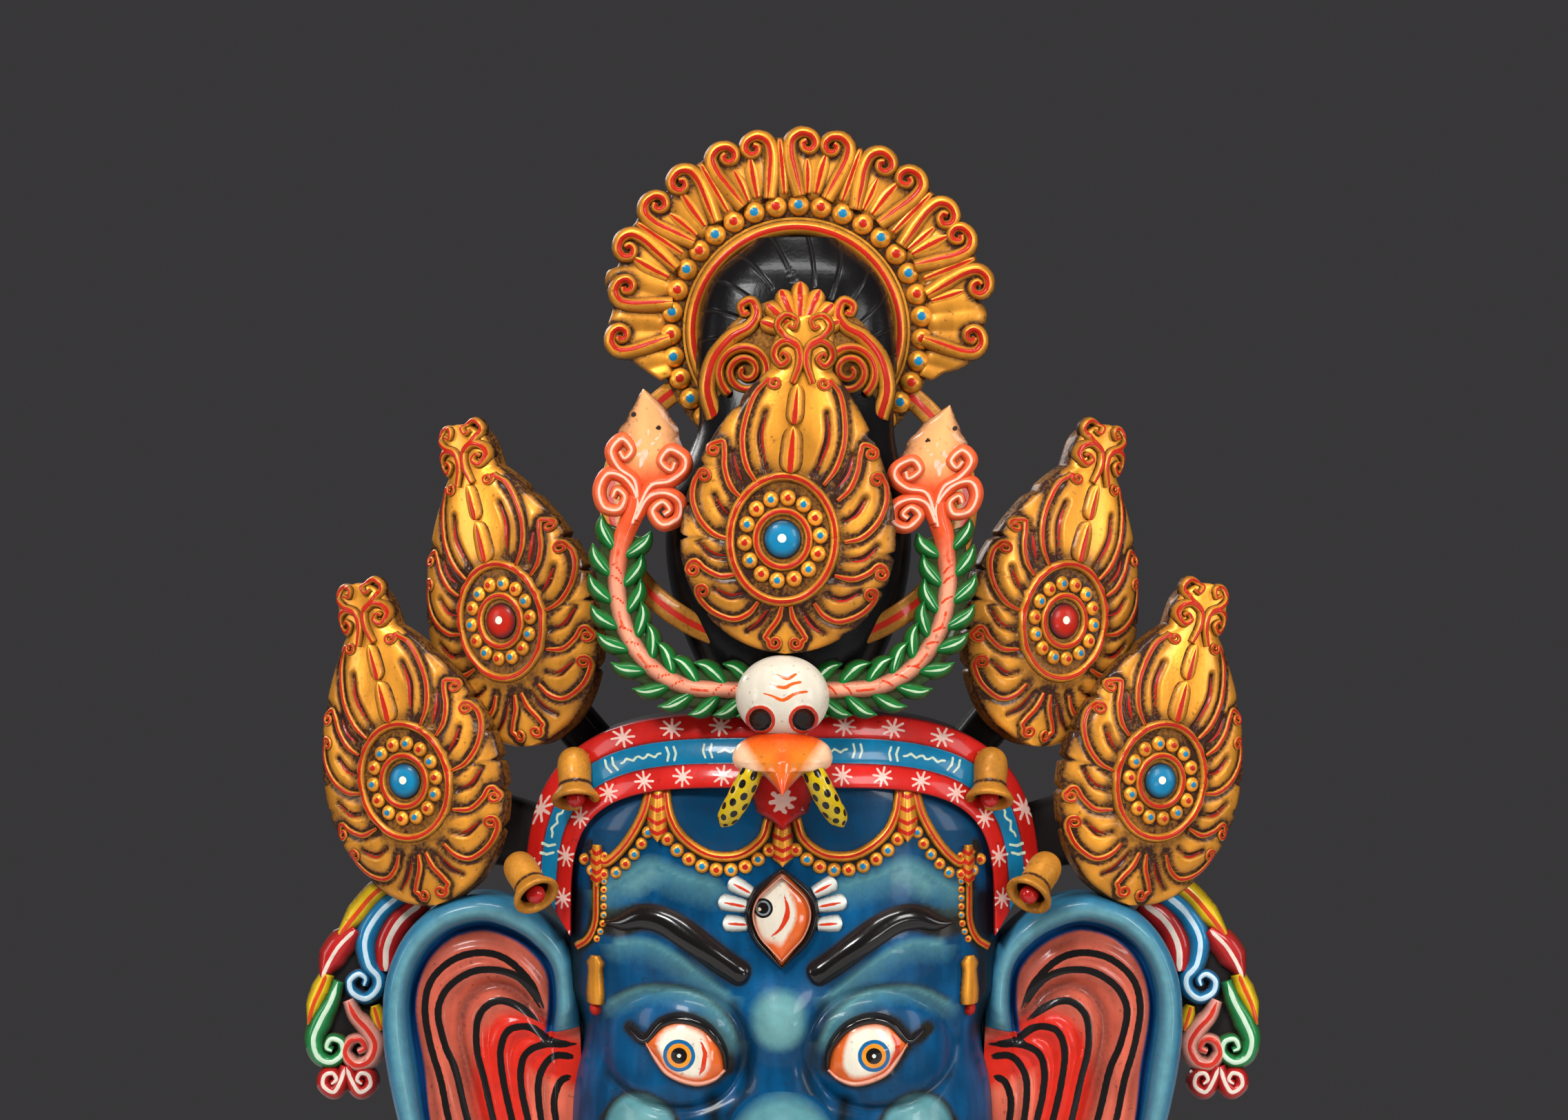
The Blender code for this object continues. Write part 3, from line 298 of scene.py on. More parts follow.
def directions(line):
    """Unit vectors along a flat line and, turned clockwise, across it."""
    ahead = np.gradient(line, axis=0)
    ahead /= np.maximum(np.linalg.norm(ahead, axis=1, keepdims=True), 1e-9)
    return ahead, np.stack([ahead[:, 1], -ahead[:, 0]], axis=1)


def profile(count, places, values):
    """Values read off a broken line at so many even steps from 0 to 1."""
    return np.interp(np.linspace(0, 1, count), places, values)


def hump(distance, reach):
    """A soft bump, e^-(distance / reach)^2: 1 at no distance, and about a third at the reach."""
    return np.exp(-((distance / reach) ** 2))


def spiral(centre, radius, start, turns, count=26, core=0.16):
    """A scroll's line: from its outer end, at an angle in degrees, the radius shrinks evenly to its eye."""
    t = np.linspace(0, 1, count)
    angle = np.radians(start) + 2 * np.pi * turns * t
    reach = radius * (1 - (1 - core) * t)
    return np.stack([centre[0] + reach * np.cos(angle), centre[1] + reach * np.sin(angle)], axis=1)


def stroke(u, v, path, width):
    """How far points lie outside a brush stroke: the distance to its line, less its half width there."""
    path = np.asarray(path, float)
    width = np.broadcast_to(np.asarray(width, float), (len(path),))
    result = np.full(u.shape, FAR)
    margin = FAR + width.max()
    low, high = path.min(0) - margin, path.max(0) + margin
    near = (u > low[0]) & (u < high[0]) & (v > low[1]) & (v < high[1])
    pu, pv = u[near], v[near]
    best = np.full(pu.shape, FAR * 2)
    for a, b, wide_a, wide_b in zip(path, path[1:], width, width[1:]):
        step = b - a
        share = ((pu - a[0]) * step[0] + (pv - a[1]) * step[1]) / max(step @ step, 1e-9)
        share = np.clip(share, 0, 1)
        away = np.hypot(pu - a[0] - share * step[0], pv - a[1] - share * step[1])
        best = np.minimum(best, away - (wide_a + (wide_b - wide_a) * share))
    result[near] = np.minimum(best, FAR)
    return result


def strokes(u, v, paths, width):
    """How far points lie outside the nearest of several strokes of one width."""
    return np.min([stroke(u, v, path, width) for path in paths], axis=0)


print("a line's corner is rounded in", STEPS_BETWEEN, "steps")


# %% Straps and studs
def level_seat(height):
    """A seat that is at the same height everywhere."""
    return lambda u, v: height + 0 * u


def strap(path, half_width, rise, seat, across=9, sink=3.0, line=None, line_at=0.0, mark="red", twist=0.0,
          **marks):
    """A carved band along a line in the plane, in mm: crowned on top, sunk in what it lies on.

    The height over the seat is rise * (1 - |s|^2.4) at share s across. Brown wash and painted shade gather at
    its two edges. A painted line may run along it at share line_at, as wide as line says at each station.
    """
    path = np.asarray(path, float)
    count = len(path)
    half_width = np.broadcast_to(np.asarray(half_width, float), (count,))
    rise = np.broadcast_to(np.asarray(rise, float), (count,))
    ahead, out = directions(path)
    share = np.cos(np.linspace(np.pi, 0, across))
    u = path[:, :1] + out[:, :1] * half_width[:, None] * share
    v = path[:, 1:] + out[:, 1:] * half_width[:, None] * share
    height = rise[:, None] * (1 - np.abs(share) ** 2.4) + twist * rise[:, None] * share
    top = xyz(u, v, seat(u, v) + height)
    back_u, back_v = u[:, ::-1], v[:, ::-1]
    foot = xyz(back_u, back_v, seat(back_u, back_v) - sink)[:, [0, across // 2, -1]]
    hollow = np.concatenate([np.abs(share) ** 2.4, np.ones(3)]) * np.ones((count, 1))
    marks.setdefault("hollow", hollow)
    if line is not None:
        line = np.broadcast_to(np.asarray(line, float), (count,))
        distance = np.abs(share - line_at) * half_width[:, None] - line[:, None]
        marks[mark] = np.concatenate([distance, np.full((count, 3), FAR)], axis=1)
    return part(np.concatenate([top, foot], axis=1), **marks)


def dome(centre, radii, seat, rise, around=12, rows=4, sink=2.0, dot=None, dot_mark="red"):
    """A stud in mm: a low dome on a short neck, with a dot of paint on its top."""
    turn = once_round(around)
    tilt = np.linspace(0.25, 1.45, rows)
    share = np.array([1.0, 1.0, *np.cos(tilt)])
    height = np.array([-sink, 0.0, *(rise * np.sin(tilt))])
    u = centre[0] + radii[0] * share[:, None] * np.cos(turn)
    v = centre[1] + radii[1] * share[:, None] * np.sin(turn)
    base = seat(np.array(centre[0]), np.array(centre[1]))
    marks = {"hollow": np.clip(1.2 - height / rise * 3, 0, 1)[:, None]}
    if dot:
        marks[dot_mark] = (share * min(radii) - dot)[:, None]
    return part(xyz(u, v, base + height[:, None]), **marks)


def tapered(count, full, start=0.35, end=0.15, peak=0.45):
    """Half widths along a leaf: swelling from start to full at its peak and thinning to its end."""
    t = np.linspace(0, 1, count)
    growing = start + (1 - start) * np.sin(np.pi / 2 * t / peak)
    thinning = end + (1 - end) * np.cos(np.pi / 2 * (t - peak) / (1 - peak))
    return full * np.where(t < peak, growing, thinning)


print("a plain stud has", len(dome((0, 0), (1, 1), level_seat(0), 1)["rings"]), "rings")

# %% [markdown]
# ## Hand-brushed paint
# The real finish is opaque paint over primer. The colour drifts a little within each brush load, the gold
# has a fine metal sheen, edges and hollows hold a brown wash, and specks of it stay elsewhere. The same
# dark colour also paints the shade in recesses, creases and at edges. Two node groups do this for every
# material. One makes the ground coat from a colour, and the other lays one more colour over it wherever its
# mark is below zero, with the slightly ragged edge of a brush.

# %% Helpers for node groups
def new_group(name, inputs, outputs):
    """An empty shader group with those named sockets, and its input and output nodes."""
    group = bpy.data.node_groups.new(name, "ShaderNodeTree")
    for label, kind, value in inputs:
        socket = group.interface.new_socket(name=label, in_out="INPUT", socket_type="NodeSocket" + kind)
        socket.default_value = value
    for label, kind in outputs:
        group.interface.new_socket(name=label, in_out="OUTPUT", socket_type="NodeSocket" + kind)
    return group, group.nodes.new("NodeGroupInput"), group.nodes.new("NodeGroupOutput")


def feed(node, values):
    """At each input that is named: link a value that is a socket, and set a number or a colour."""
    for key, value in values.items():
        if isinstance(value, bpy.types.NodeSocket):
            node.id_data.links.new(value, node.inputs[key])
        else:
            node.inputs[key].default_value = value


def tree_of(*values):
    """The node tree of the first value that is a socket."""
    return next(value.id_data for value in values if isinstance(value, bpy.types.NodeSocket))


def maths(operation, a, b, clamp=False):
    """A Math node; one of a and b is a socket, and the other a socket or a number."""
    node = tree_of(a, b).nodes.new("ShaderNodeMath")
    node.operation, node.use_clamp = operation, clamp
    feed(node, {0: a, 1: b})
    return node.outputs[0]


# The sum a + b, the difference a - b and the product a * b of sockets or numbers
plus, minus, times = (partial(maths, operation) for operation in ("ADD", "SUBTRACT", "MULTIPLY"))


def blend_colours(share, below, above, kind="MIX"):
    """A colour Mix node; each of its three inputs is a socket or a value."""
    node = tree_of(share, below, above).nodes.new("ShaderNodeMix")
    node.data_type, node.blend_type = "RGBA", kind
    feed(node, {0: share, 6: below, 7: above})
    return node.outputs[2]


def fog(tree, scale, detail=3.0, stretch=None):
    """Noise on the piece's own coordinates, from 0 to 1, stretched along an axis where asked."""
    place = tree.nodes.new("ShaderNodeTexCoord").outputs["Object"]
    if stretch:
        mapping = tree.nodes.new("ShaderNodeMapping")
        feed(mapping, {"Scale": stretch, "Vector": place})
        place = mapping.outputs["Vector"]
    noise = tree.nodes.new("ShaderNodeTexNoise")
    feed(noise, {"Scale": scale, "Detail": detail, "Vector": place})
    return noise.outputs["Fac"]


# %% [markdown]
# ### The ground coat
# Three noises of different size make one brushed coat. The broad one and the streaks, drawn out upright as
# a brush leaves them, push the paint a little darker or lighter. The wash, whose dark colour is also the
# painted shade of recesses and creases, is laid where its mark says so, in patches, because a rag took most
# of it off, and a few specks of it stay anywhere. The group also gives out where the wash and the painted
# shade lie and how high the brush marks stand, for the shader's roughness and bump.

# %% Group for the ground coat
DARKER, LIGHTER = (0.42, 0.36, 0.34, 1), (1.28, 1.24, 1.18, 1)
DRIFT_FROM, DRIFT_CONTRAST = 0.42, 4.0
# How the brown wash and the painted shade of recesses are laid: least cover, and what the patches add
WASH_AND_SHADE_LEAST, WASH_AND_SHADE_PATCHES = 0.2, 0.8
SPECK_FROM, SPECK_CONTRAST, SPECK_COVER = 0.66, 9.0, 0.45

ground_coat, coat_in, coat_out = new_group(
    "ground coat",
    [("Paint", "Color", (0.5, 0.5, 0.5, 1)), ("Wash And Shade Colour", "Color", (0.05, 0.02, 0.01, 1)),
     ("Hollow", "Float", 0.0), ("Wash And Shade Amount", "Float", 0.8), ("Drift", "Float", 0.25)],
    [("Color", "Color"), ("Wash And Shade Cover", "Float"), ("Height", "Float")],
)
ground, wash_and_shade_colour = coat_in.outputs["Paint"], coat_in.outputs["Wash And Shade Colour"]
broad = fog(ground_coat, 22)
fine = fog(ground_coat, 420, 2.0)
streaks = fog(ground_coat, 90, 4.0, (1, 1, 0.25))
drift = minus(plus(times(broad, 0.6), times(streaks, 0.4)), DRIFT_FROM, clamp=True)
shift = times(drift, DRIFT_CONTRAST, clamp=True)
darker = blend_colours(1.0, ground, DARKER, "MULTIPLY")
lighter = blend_colours(1.0, ground, LIGHTER, "MULTIPLY")
shaded = blend_colours(shift, darker, lighter)
varied = blend_colours(coat_in.outputs["Drift"], ground, shaded)

# Wash and painted shade: where the depth mark says, in patches, scaled by the amount
patches = times(plus(streaks, fine), WASH_AND_SHADE_PATCHES)
wash_and_shade_cover = times(coat_in.outputs["Hollow"], plus(WASH_AND_SHADE_LEAST, patches))
wash_and_shade_cover = times(wash_and_shade_cover, coat_in.outputs["Wash And Shade Amount"], clamp=True)
washed_and_shaded = blend_colours(wash_and_shade_cover, varied, wash_and_shade_colour)
specks = minus(fog(ground_coat, 260, 1.0), SPECK_FROM, clamp=True)
specks = times(specks, SPECK_CONTRAST, clamp=True)
speckled = blend_colours(times(specks, SPECK_COVER), washed_and_shaded, wash_and_shade_colour)
brushed = plus(times(streaks, 0.7), times(fine, 0.3))
feed(coat_out, {"Color": speckled, "Wash And Shade Cover": wash_and_shade_cover, "Height": brushed})
print("ground coat has", len(ground_coat.nodes), "nodes")

# %% [markdown]
# ### A brush layer
# A brush stroke is full where its mark is negative. Noise is added to the mark first, so that the edge
# wanders by as many millimetres as Ragged says, and Softness says over how many it fades. A second noise
# makes the paint a little thinner in places, as a brush does when it runs dry.

# %% Group for a brush layer
UNDERCOAT = (0.02, 0.01, 0.01, 1)
FULL_LOAD, LOAD_CHANGE, LOAD_LEAST = 1.05, 0.5, 0.72

brush_layer, brush_in, brush_out = new_group(
    "brush layer",
    [("Under", "Color", (0.5, 0.5, 0.5, 1)), ("Paint", "Color", (0.5, 0.02, 0.02, 1)),
     ("Mark", "Float", FAR), ("Ragged", "Float", 0.5), ("Softness", "Float", 0.18)],
    [("Color", "Color"), ("Cover", "Float")],
)
wander = times(minus(fog(brush_layer, 320, 2.0), 0.5), brush_in.outputs["Ragged"])
outside = plus(brush_in.outputs["Mark"], wander)
outside = maths("DIVIDE", outside, brush_in.outputs["Softness"])
cover = minus(0.5, outside, clamp=True)
load = plus(times(fog(brush_layer, 120, 3.0), LOAD_CHANGE), LOAD_LEAST)
dry = minus(FULL_LOAD, load, clamp=True)
loaded = blend_colours(dry, brush_in.outputs["Paint"], UNDERCOAT)
stroked = blend_colours(cover, brush_in.outputs["Under"], loaded)
feed(brush_out, {"Color": stroked, "Cover": cover})
print("brush layer has", len(brush_layer.nodes), "nodes")

# %% [markdown]
# ### A painted material
# Every finish on the mask is the ground coat with a few brush layers over it, each driven by one mark.
# Gold is metallic only where neither a stroke nor the wash and painted shade cover it. The wash and the
# painted shade are also rougher than clean paint.

# %% Painted materials
BRUSH_ROUGH, WASH_AND_SHADE_ROUGH = 0.2, 0.3
CLEAN_LESS = 0.08
VARNISH_ROUGHNESS, PAINT_SPECULAR = 0.10, 0.12
BRUSH_RIDGE, RIDGE_STRENGTH = 0.6 * MM, 0.5


def mark_value(tree, label):
    """The value of a mark at each point."""
    node = tree.nodes.new("ShaderNodeAttribute")
    node.attribute_name = label
    return node.outputs["Fac"]


def painted(name, ground, layers, wash_and_shade_colour=(0.035, 0.012, 0.006), wash_and_shade_amount=0.85, drift=0.3, roughness=0.34,
            metallic=0.0, coat=0.25):
    """A material of the ground coat and, in their order, the layers.

    A layer is its mark, its colour, and in millimetres how far its edge wanders and how softly it ends.
    """
    material = bpy.data.materials.new(name)
    material.use_nodes = True
    tree = material.node_tree
    shader = tree.nodes["Principled BSDF"]
    under = tree.nodes.new("ShaderNodeGroup")
    under.node_tree = ground_coat
    feed(under, {"Paint": (*ground, 1), "Wash And Shade Colour": (*wash_and_shade_colour, 1), "Wash And Shade Amount": wash_and_shade_amount, "Drift": drift,
                 "Hollow": mark_value(tree, "hollow")})
    colour, cover = under.outputs["Color"], under.outputs["Wash And Shade Cover"]
    for label, paint, ragged, softness in layers:
        layer = tree.nodes.new("ShaderNodeGroup")
        layer.node_tree = brush_layer
        feed(layer, {"Paint": (*paint, 1), "Ragged": ragged, "Softness": softness, "Under": colour,
                     "Mark": mark_value(tree, label)})
        colour = layer.outputs["Color"]
        if metallic:
            cover = maths("MAXIMUM", cover, layer.outputs["Cover"])
    if metallic:
        feed(shader, {"Metallic": times(minus(1.0, cover, clamp=True), metallic)})
    rough = plus(roughness - CLEAN_LESS, times(under.outputs["Height"], BRUSH_ROUGH))
    rough = plus(rough, times(under.outputs["Wash And Shade Cover"], WASH_AND_SHADE_ROUGH), clamp=True)
    bump = tree.nodes.new("ShaderNodeBump")
    feed(bump, {"Strength": RIDGE_STRENGTH, "Distance": BRUSH_RIDGE, "Height": under.outputs["Height"]})
    feed(shader, {"Base Color": colour, "Roughness": rough, "Normal": bump.outputs["Normal"],
                  "Coat Weight": coat, "Coat Roughness": VARNISH_ROUGHNESS,
                  "Specular IOR Level": PAINT_SPECULAR})
    return material


INK = (0.007, 0.006, 0.006)
GOLD = (0.92, 0.385, 0.042)
gold_paint = painted("gold paint", GOLD, [
    ("red", (0.46, 0.016, 0.006), 0.7, 0.35), ("black", (0.035, 0.010, 0.004), 0.6, 0.5),
    ("blue", (0.008, 0.19, 0.36), 0.3, 0.2), ("white", (0.80, 0.76, 0.64), 0.3, 0.2),
    ("pale", (0.010, 0.010, 0.012), 0.3, 5.0)],
    metallic=0.45, roughness=0.33, drift=0.6, coat=0.12, wash_and_shade_amount=1.0)
print("gold paint has", len(gold_paint.node_tree.nodes), "nodes")


# %% [markdown]
# ## The five crown plaques
# Each plaque is a gilded board, cut to a drop shape with a curled tip. Its face was domed first. Then a V
# tool ran ribs from the round rosette out to the edge, where each ends in a small scroll, and a gouge
# hollowed the wood on both sides of every rib. Between the ribs sit short crescent cuts. A painter drew
# red along each rib. Places are shares of the board's half width, so one drawing serves boards of
# different width.

# %% Sizes of a plaque, in millimetres
PLAQUE_HALF, PLAQUE_ABOVE = 71.5, 149.0
NECK_HALF, NECK_START = 21.0, 112.0
FOOT_DRAWN = 76.0
BOARD, CROWN, SWEEP = 17.0, 12.0, 10.0
ROSETTE, BEAD_OVAL, BEADS, JEWEL = (34.8, 41.4), (25.0, 27.4), 14, 12.7
RIBS = (
    (((0.33, 36), (0.48, 48), (0.62, 65), (0.72, 82), (0.80, 97), (0.72, 106)), (0.55, 103.5), 4.6, -1),
    (((0.46, 26), (0.59, 34), (0.70, 46), (0.77, 57), (0.85, 64), (0.93, 62)), (0.90, 58.0), 4.6, -1),
    (((0.52, -1), (0.68, 2), (0.83, 12), (0.93, 25), (0.965, 37), (0.93, 44)), (0.885, 40.5), 4.4, 1),
    (((0.46, -23.5), (0.65, -25.5), (0.79, -21), (0.86, -16), (0.94, -17)), (0.905, -21.5), 4.6, -1),
    (((0.31, -42), (0.46, -50), (0.70, -54), (0.90, -49), (0.955, -40), (0.93, -33)), (0.885, -36.0), 4.4, 1),
    (((0.05, -44.5), (0.10, -53), (0.25, -61), (0.42, -67)), (0.22, -68.5), 4.6, -1),
)
CUTS = (
    ((0.46, 84), (0.42, 68), (0.32, 54), (0.24, 43)), ((0.68, 57), (0.585, 45), (0.455, 34)),
    ((0.73, 28), (0.63, 18), (0.51, 12.5)), ((0.83, -3), (0.70, -11.5), (0.53, -12.5)),
    ((0.76, -34), (0.60, -39), (0.43, -36)), ((0.62, -62), (0.36, -56), (0.17, -45)),
)
TIP_SCROLLS = (
    ((6.6, 103), (2.2, 117), (4.2, 128), (12.5, 134), (17.6, 142), (12.6, 148.5), (5.0, 145.5), (6.8, 139.5),
     (10.4, 141.5)),
    ((4.2, 127), (11, 131), (17.6, 128), (19.4, 121), (14.6, 115), (9.8, 119), (13.0, 123), (15.4, 121)),
)
PETALS = ((59, 15.5, 8.6), (89, 13.5, 6.8))
print(len(RIBS) * 2, "ribs and", len(CUTS) * 2, "cuts on each board")


# %% Outline of a board
def board_half(v, below):
    """Half width at height v: an ellipse below the rosette, a cosine shoulder above it, then the neck."""
    foot = PLAQUE_HALF * np.sqrt(np.clip(1 - (np.clip(-v, 0, below) / below) ** 2, 0, 1))
    lift = np.clip(v / NECK_START, 0, 1)
    shoulder = NECK_HALF + (PLAQUE_HALF - NECK_HALF) * (0.5 + 0.5 * np.cos(np.pi * lift)) ** 0.42
    rounding = np.clip((v - (PLAQUE_ABOVE - NECK_HALF)) / NECK_HALF, 0, 1)
    return np.where(v < 0, foot, shoulder * np.sqrt(1 - rounding**2))


def board_axis(v, offset):
    """Where the board's middle line runs: shifted by the offset, and swept aside above the rosette."""
    return offset + SWEEP * (np.clip(v, 0, None) / PLAQUE_ABOVE) ** 2


def on_board(points, side, below, offset):
    """Turn (share of half width, v) into millimetres on one side of the board; the foot's heights stretch."""
    points = np.asarray(points, float)
    v = np.where(points[:, 1] < 0, points[:, 1] * below / FOOT_DRAWN, points[:, 1])
    return np.stack([board_axis(v, offset) + side * points[:, 0] * board_half(v, below), v], axis=1)


print("a board is", round(2 * float(board_half(0.0, FOOT_DRAWN)), 1), "mm wide at the rosette")

# %% Ribs and the carved face
RIB_STEPS, RIB_SHAFT = 64, 44
RIB_TURNS = 1.35
EDGE_DROP, SWELLING, CUT_DEPTH = 3.4, 2.5, 3.4
ROSETTE_FLOOR = BOARD + CROWN * 0.88


def rib_line(rib, side, below, offset):
    """A rib's line from the rosette to the eye of its scroll, and how wide it is along the way."""
    run, eye, radius, way = rib
    run, eye = on_board(run, side, below, offset), on_board([eye], side, below, offset)[0]
    start = np.degrees(np.arctan2(run[-1][1] - eye[1], run[-1][0] - eye[0]))
    coil = spiral(eye, radius, start, way * side * RIB_TURNS, 30, 0.2)
    line = through(np.concatenate([through(run, 16)[:-1], coil[::3]]), RIB_STEPS)
    return line, profile(RIB_STEPS, [0, 0.15, 0.6, 1], [1.5, 2.5, 2.3, 1.5])


def carved_face(u, v, below, offset, ribs, cuts):
    """Height: board + dome + swelling between ribs - dips along the cuts, and a sunk floor in the rosette.

    It also gives the distances to the nearest rib and cut, and the share by which a point is in the rosette.
    """
    s = np.clip(np.abs(u - board_axis(v, offset)) / np.maximum(board_half(v, below), 1), 0, 1)
    fade = np.clip(1 - (np.abs(v) / np.where(v > 0, PLAQUE_ABOVE * 1.12, below * 1.25)) ** 2, 0, 1)
    near = strokes(u, v, [line[:RIB_SHAFT:3] for line, width in ribs], 0)
    slit = strokes(u, v, cuts, 0)
    height = BOARD + CROWN * (1 - s**2.2) ** 0.8 * fade - EDGE_DROP * s**8
    height += SWELLING * (1 - hump(near, 4.6)) - 1.5 - CUT_DEPTH * hump(slit, 1.9)
    inside = np.clip((1.04 - np.hypot(u / ROSETTE[0], v / ROSETTE[1])) * 9, 0, 1)
    return height * (1 - inside) + ROSETTE_FLOOR * inside, near, slit, inside


print("the rosette's floor is", ROSETTE_FLOOR, "mm above the back")

# %% [markdown]
# ### The board's skin
# The board is rows of points from edge to edge, its height a sum of simple terms: the dome, a swelling
# that fades near each rib and a narrow dip along each cut. Each row goes on down one edge, along the back
# and up the other edge. Brown wash and painted shade lie beside the ribs, in the cuts, round the rosette,
# between its studs and along the edges, and the board's sides carry painted shade.

# %% Skin of a board
FOOT_ROWS, TOP_ROWS, COLUMNS = 62, 100, 92
FULL_TURN_SHARE = 0.93
NICK_PITCH, NICK_DEPTH, NICK_FROM = 17, 0.075, 0.80
WALL = np.array([1.0, 1.0, 0.98, 0.5, 0.0, -0.5, -0.98, -1.0, -1.0])
WALL_HEIGHT = np.array([0.62, 0.14, 0, 0, 0, 0, 0, 0.14, 0.62]) * BOARD
# Painted shade on the board's sides
WALL_SHADE = 0.85


def board_part(below, offset, ribs, cuts):
    """The board: rows from the foot to the tip, with a small nick in both edges every so many degrees."""
    foot = -below * np.sin(np.linspace(np.pi / 2 - 0.02, 0.03, FOOT_ROWS))
    rows = np.concatenate([foot, np.linspace(0, PLAQUE_ABOVE - 0.4, TOP_ROWS)])[:, None]
    spread = np.pi / 2 * FULL_TURN_SHARE
    share = np.sin(np.linspace(-1, 1, COLUMNS) * spread) / np.sin(spread)
    nick = np.abs((np.arctan2(rows, PLAQUE_HALF) * 57.3 / NICK_PITCH + np.array([0.0, 0.4])) % 1 - 0.5) * 2
    nick = np.clip(nick - NICK_FROM, 0, 1) / (1 - NICK_FROM)
    half = board_half(rows, below) * (1 - NICK_DEPTH * nick)
    axis = board_axis(rows, offset)
    u = axis + np.where(share < 0, half[:, :1], half[:, 1:]) * share
    v = rows + 0 * u
    top, near, slit, inside = carved_face(u, v, below, offset, ribs, cuts)
    wall_u = axis + np.where(WALL < 0, half[:, :1], half[:, 1:]) * WALL
    wall = xyz(wall_u, rows, WALL_HEIGHT)
    studded = np.hypot(u / BEAD_OVAL[0], v / BEAD_OVAL[1])
    rounded = np.hypot(u / ROSETTE[0], v / ROSETTE[1])
    # Wash and painted shade beside the ribs, in the cuts, at the edges, and in and round the rosette
    hollow = hump(near - 3.0, 1.7) + 0.6 * hump(near, 7.5) + hump(slit, 2.8)
    hollow += np.abs(share) ** 16 + 0.6 * hump(rounded - 1.12, 0.13)
    hollow += inside * (0.75 + 0.25 * hump(studded - 1, 0.2))
    hollow = np.concatenate([hollow, np.full(wall_u.shape, WALL_SHADE)], axis=1)
    rings = np.concatenate([xyz(u, v, top), wall], axis=1)
    return part(rings, hollow=np.clip(hollow, 0, 1))


print("a board has", (FOOT_ROWS + TOP_ROWS) * (COLUMNS + len(WALL)), "points")

# %% Carving on a board
CUT_STEPS, TIP_STEPS, PETAL_STEPS = 12, 72, 26
RIB_RISE, CUT_RISE, TIP_RISE, PETAL_RISE = 2.6, 0.4, 5.0, 4.6


def rib_and_cut_parts(ribs, cuts, seat):
    """A strap with a red line for each rib, and a red one with a black line in each cut."""
    parts = [strap(line, width, RIB_RISE, seat, 9, RIB_RISE, line=np.clip(width * 0.44, 0.7, 2))
             for line, width in ribs]
    wide = tapered(CUT_STEPS, 2.1, 0.3, 0.1, 0.5)
    # The black line down each cut is painted shade at its bottom
    ink = {"line": wide * 0.62, "line_at": 0.35, "mark": "black", "red": -1.0}
    return parts + [strap(cut, wide, CUT_RISE, seat, 7, 1.2, **ink) for cut in cuts]


def tip_parts(offset, seat):
    """The scrolls that curl at the tip, and the two petals on the middle line, each slit with red."""
    middle = (board_axis(120, offset) + 0.5, 0)
    width = profile(TIP_STEPS, [0, 0.2, 0.7, 1], [2.6, 3.5, 2.9, 1.7])
    parts = []
    for scroll in TIP_SCROLLS:
        for side in (-1, 1):
            line = through(np.array(scroll) * (side, 1) + middle, TIP_STEPS)
            parts.append(strap(line, width, TIP_RISE, seat, 9, 3.0, line=width * 0.36))
    for centre, long, wide in PETALS:
        x = board_axis(float(centre), offset) - 1.5
        line = through([(x, centre - long), (x + 0.8, centre), (x + 1.6, centre + long)], PETAL_STEPS)
        rounded = np.sqrt(np.clip(1 - np.linspace(-1, 1, PETAL_STEPS) ** 4 * 0.99, 0, 1))
        swell = wide * rounded * np.linspace(1.0, 0.8, PETAL_STEPS)
        slot = np.clip(swell * 0.3 - 0.4 + np.linspace(0.6, -0.9, PETAL_STEPS), -1, 2)
        parts.append(strap(line, swell, PETAL_RISE, seat, 15, 3.0, line=slot))
    return parts


# %% Rosette
ROSETTE_RINGS = ((ROSETTE, 3.5, 3.4), ((17.4, 18.4), 3.0, 3.6))
BEAD_RADII, BEAD_RISE, BEAD_DOT = (5.4, 5.6), 4.4, 2.1
STONE_RISE, STONE_RIM = 4.4, 10.4
GLINT, GLINT_RADIUS = (-0.4, 0.6), 2.9


def rosette_parts(seat, jewel):
    """Two rolled rings, a circle of studs dotted blue and red by turns, and a painted jewel."""
    turn = np.linspace(0, 2 * np.pi * 1.01, 90)
    parts = []
    for radii, width, rise in ROSETTE_RINGS:
        line = np.stack([radii[0] * np.cos(turn), radii[1] * np.sin(turn)], axis=1)
        parts.append(strap(line, width, rise, seat, 13, 3.0, line=1.25))
    for index in range(BEADS):
        angle = 2 * np.pi * (index + 0.25) / BEADS
        place = (BEAD_OVAL[0] * np.cos(angle), BEAD_OVAL[1] * np.sin(angle))
        dot = {"dot": BEAD_DOT, "dot_mark": ("blue", "red")[index % 2]}
        parts.append(dome(place, BEAD_RADII, seat, BEAD_RISE, 18, 5, **dot))
    radii = (JEWEL, JEWEL * 1.04)
    stone = dome((0, 0), radii, seat, STONE_RISE, 32, 8, dot=JEWEL * 0.965, dot_mark=jewel)
    u, v = stone["rings"][..., 0], stone["rings"][..., 1]
    stone["marks"]["white"] = np.hypot(u - GLINT[0], v - GLINT[1]) - GLINT_RADIUS
    stone["marks"]["pale"] = STONE_RIM - np.hypot(u, v)
    return [*parts, stone]


def plaque_parts(below, offset, jewel):
    """Everything carved on one board, in millimetres (u, v, height off the back)."""
    ribs = [rib_line(rib, side, below, offset) for rib in RIBS for side in (-1, 1)]
    cuts = [through(on_board(cut, side, below, offset), CUT_STEPS) for cut in CUTS for side in (-1, 1)]

    def seat(u, v):
        """Height of the face where something is set on it."""
        face = carved_face(np.atleast_1d(u), np.atleast_1d(v), below, offset, ribs, cuts)[0]
        return face.reshape(np.shape(u))

    parts = [board_part(below, offset, ribs, cuts), *rib_and_cut_parts(ribs, cuts, seat)]
    return parts + tip_parts(offset, seat) + rosette_parts(seat, jewel)


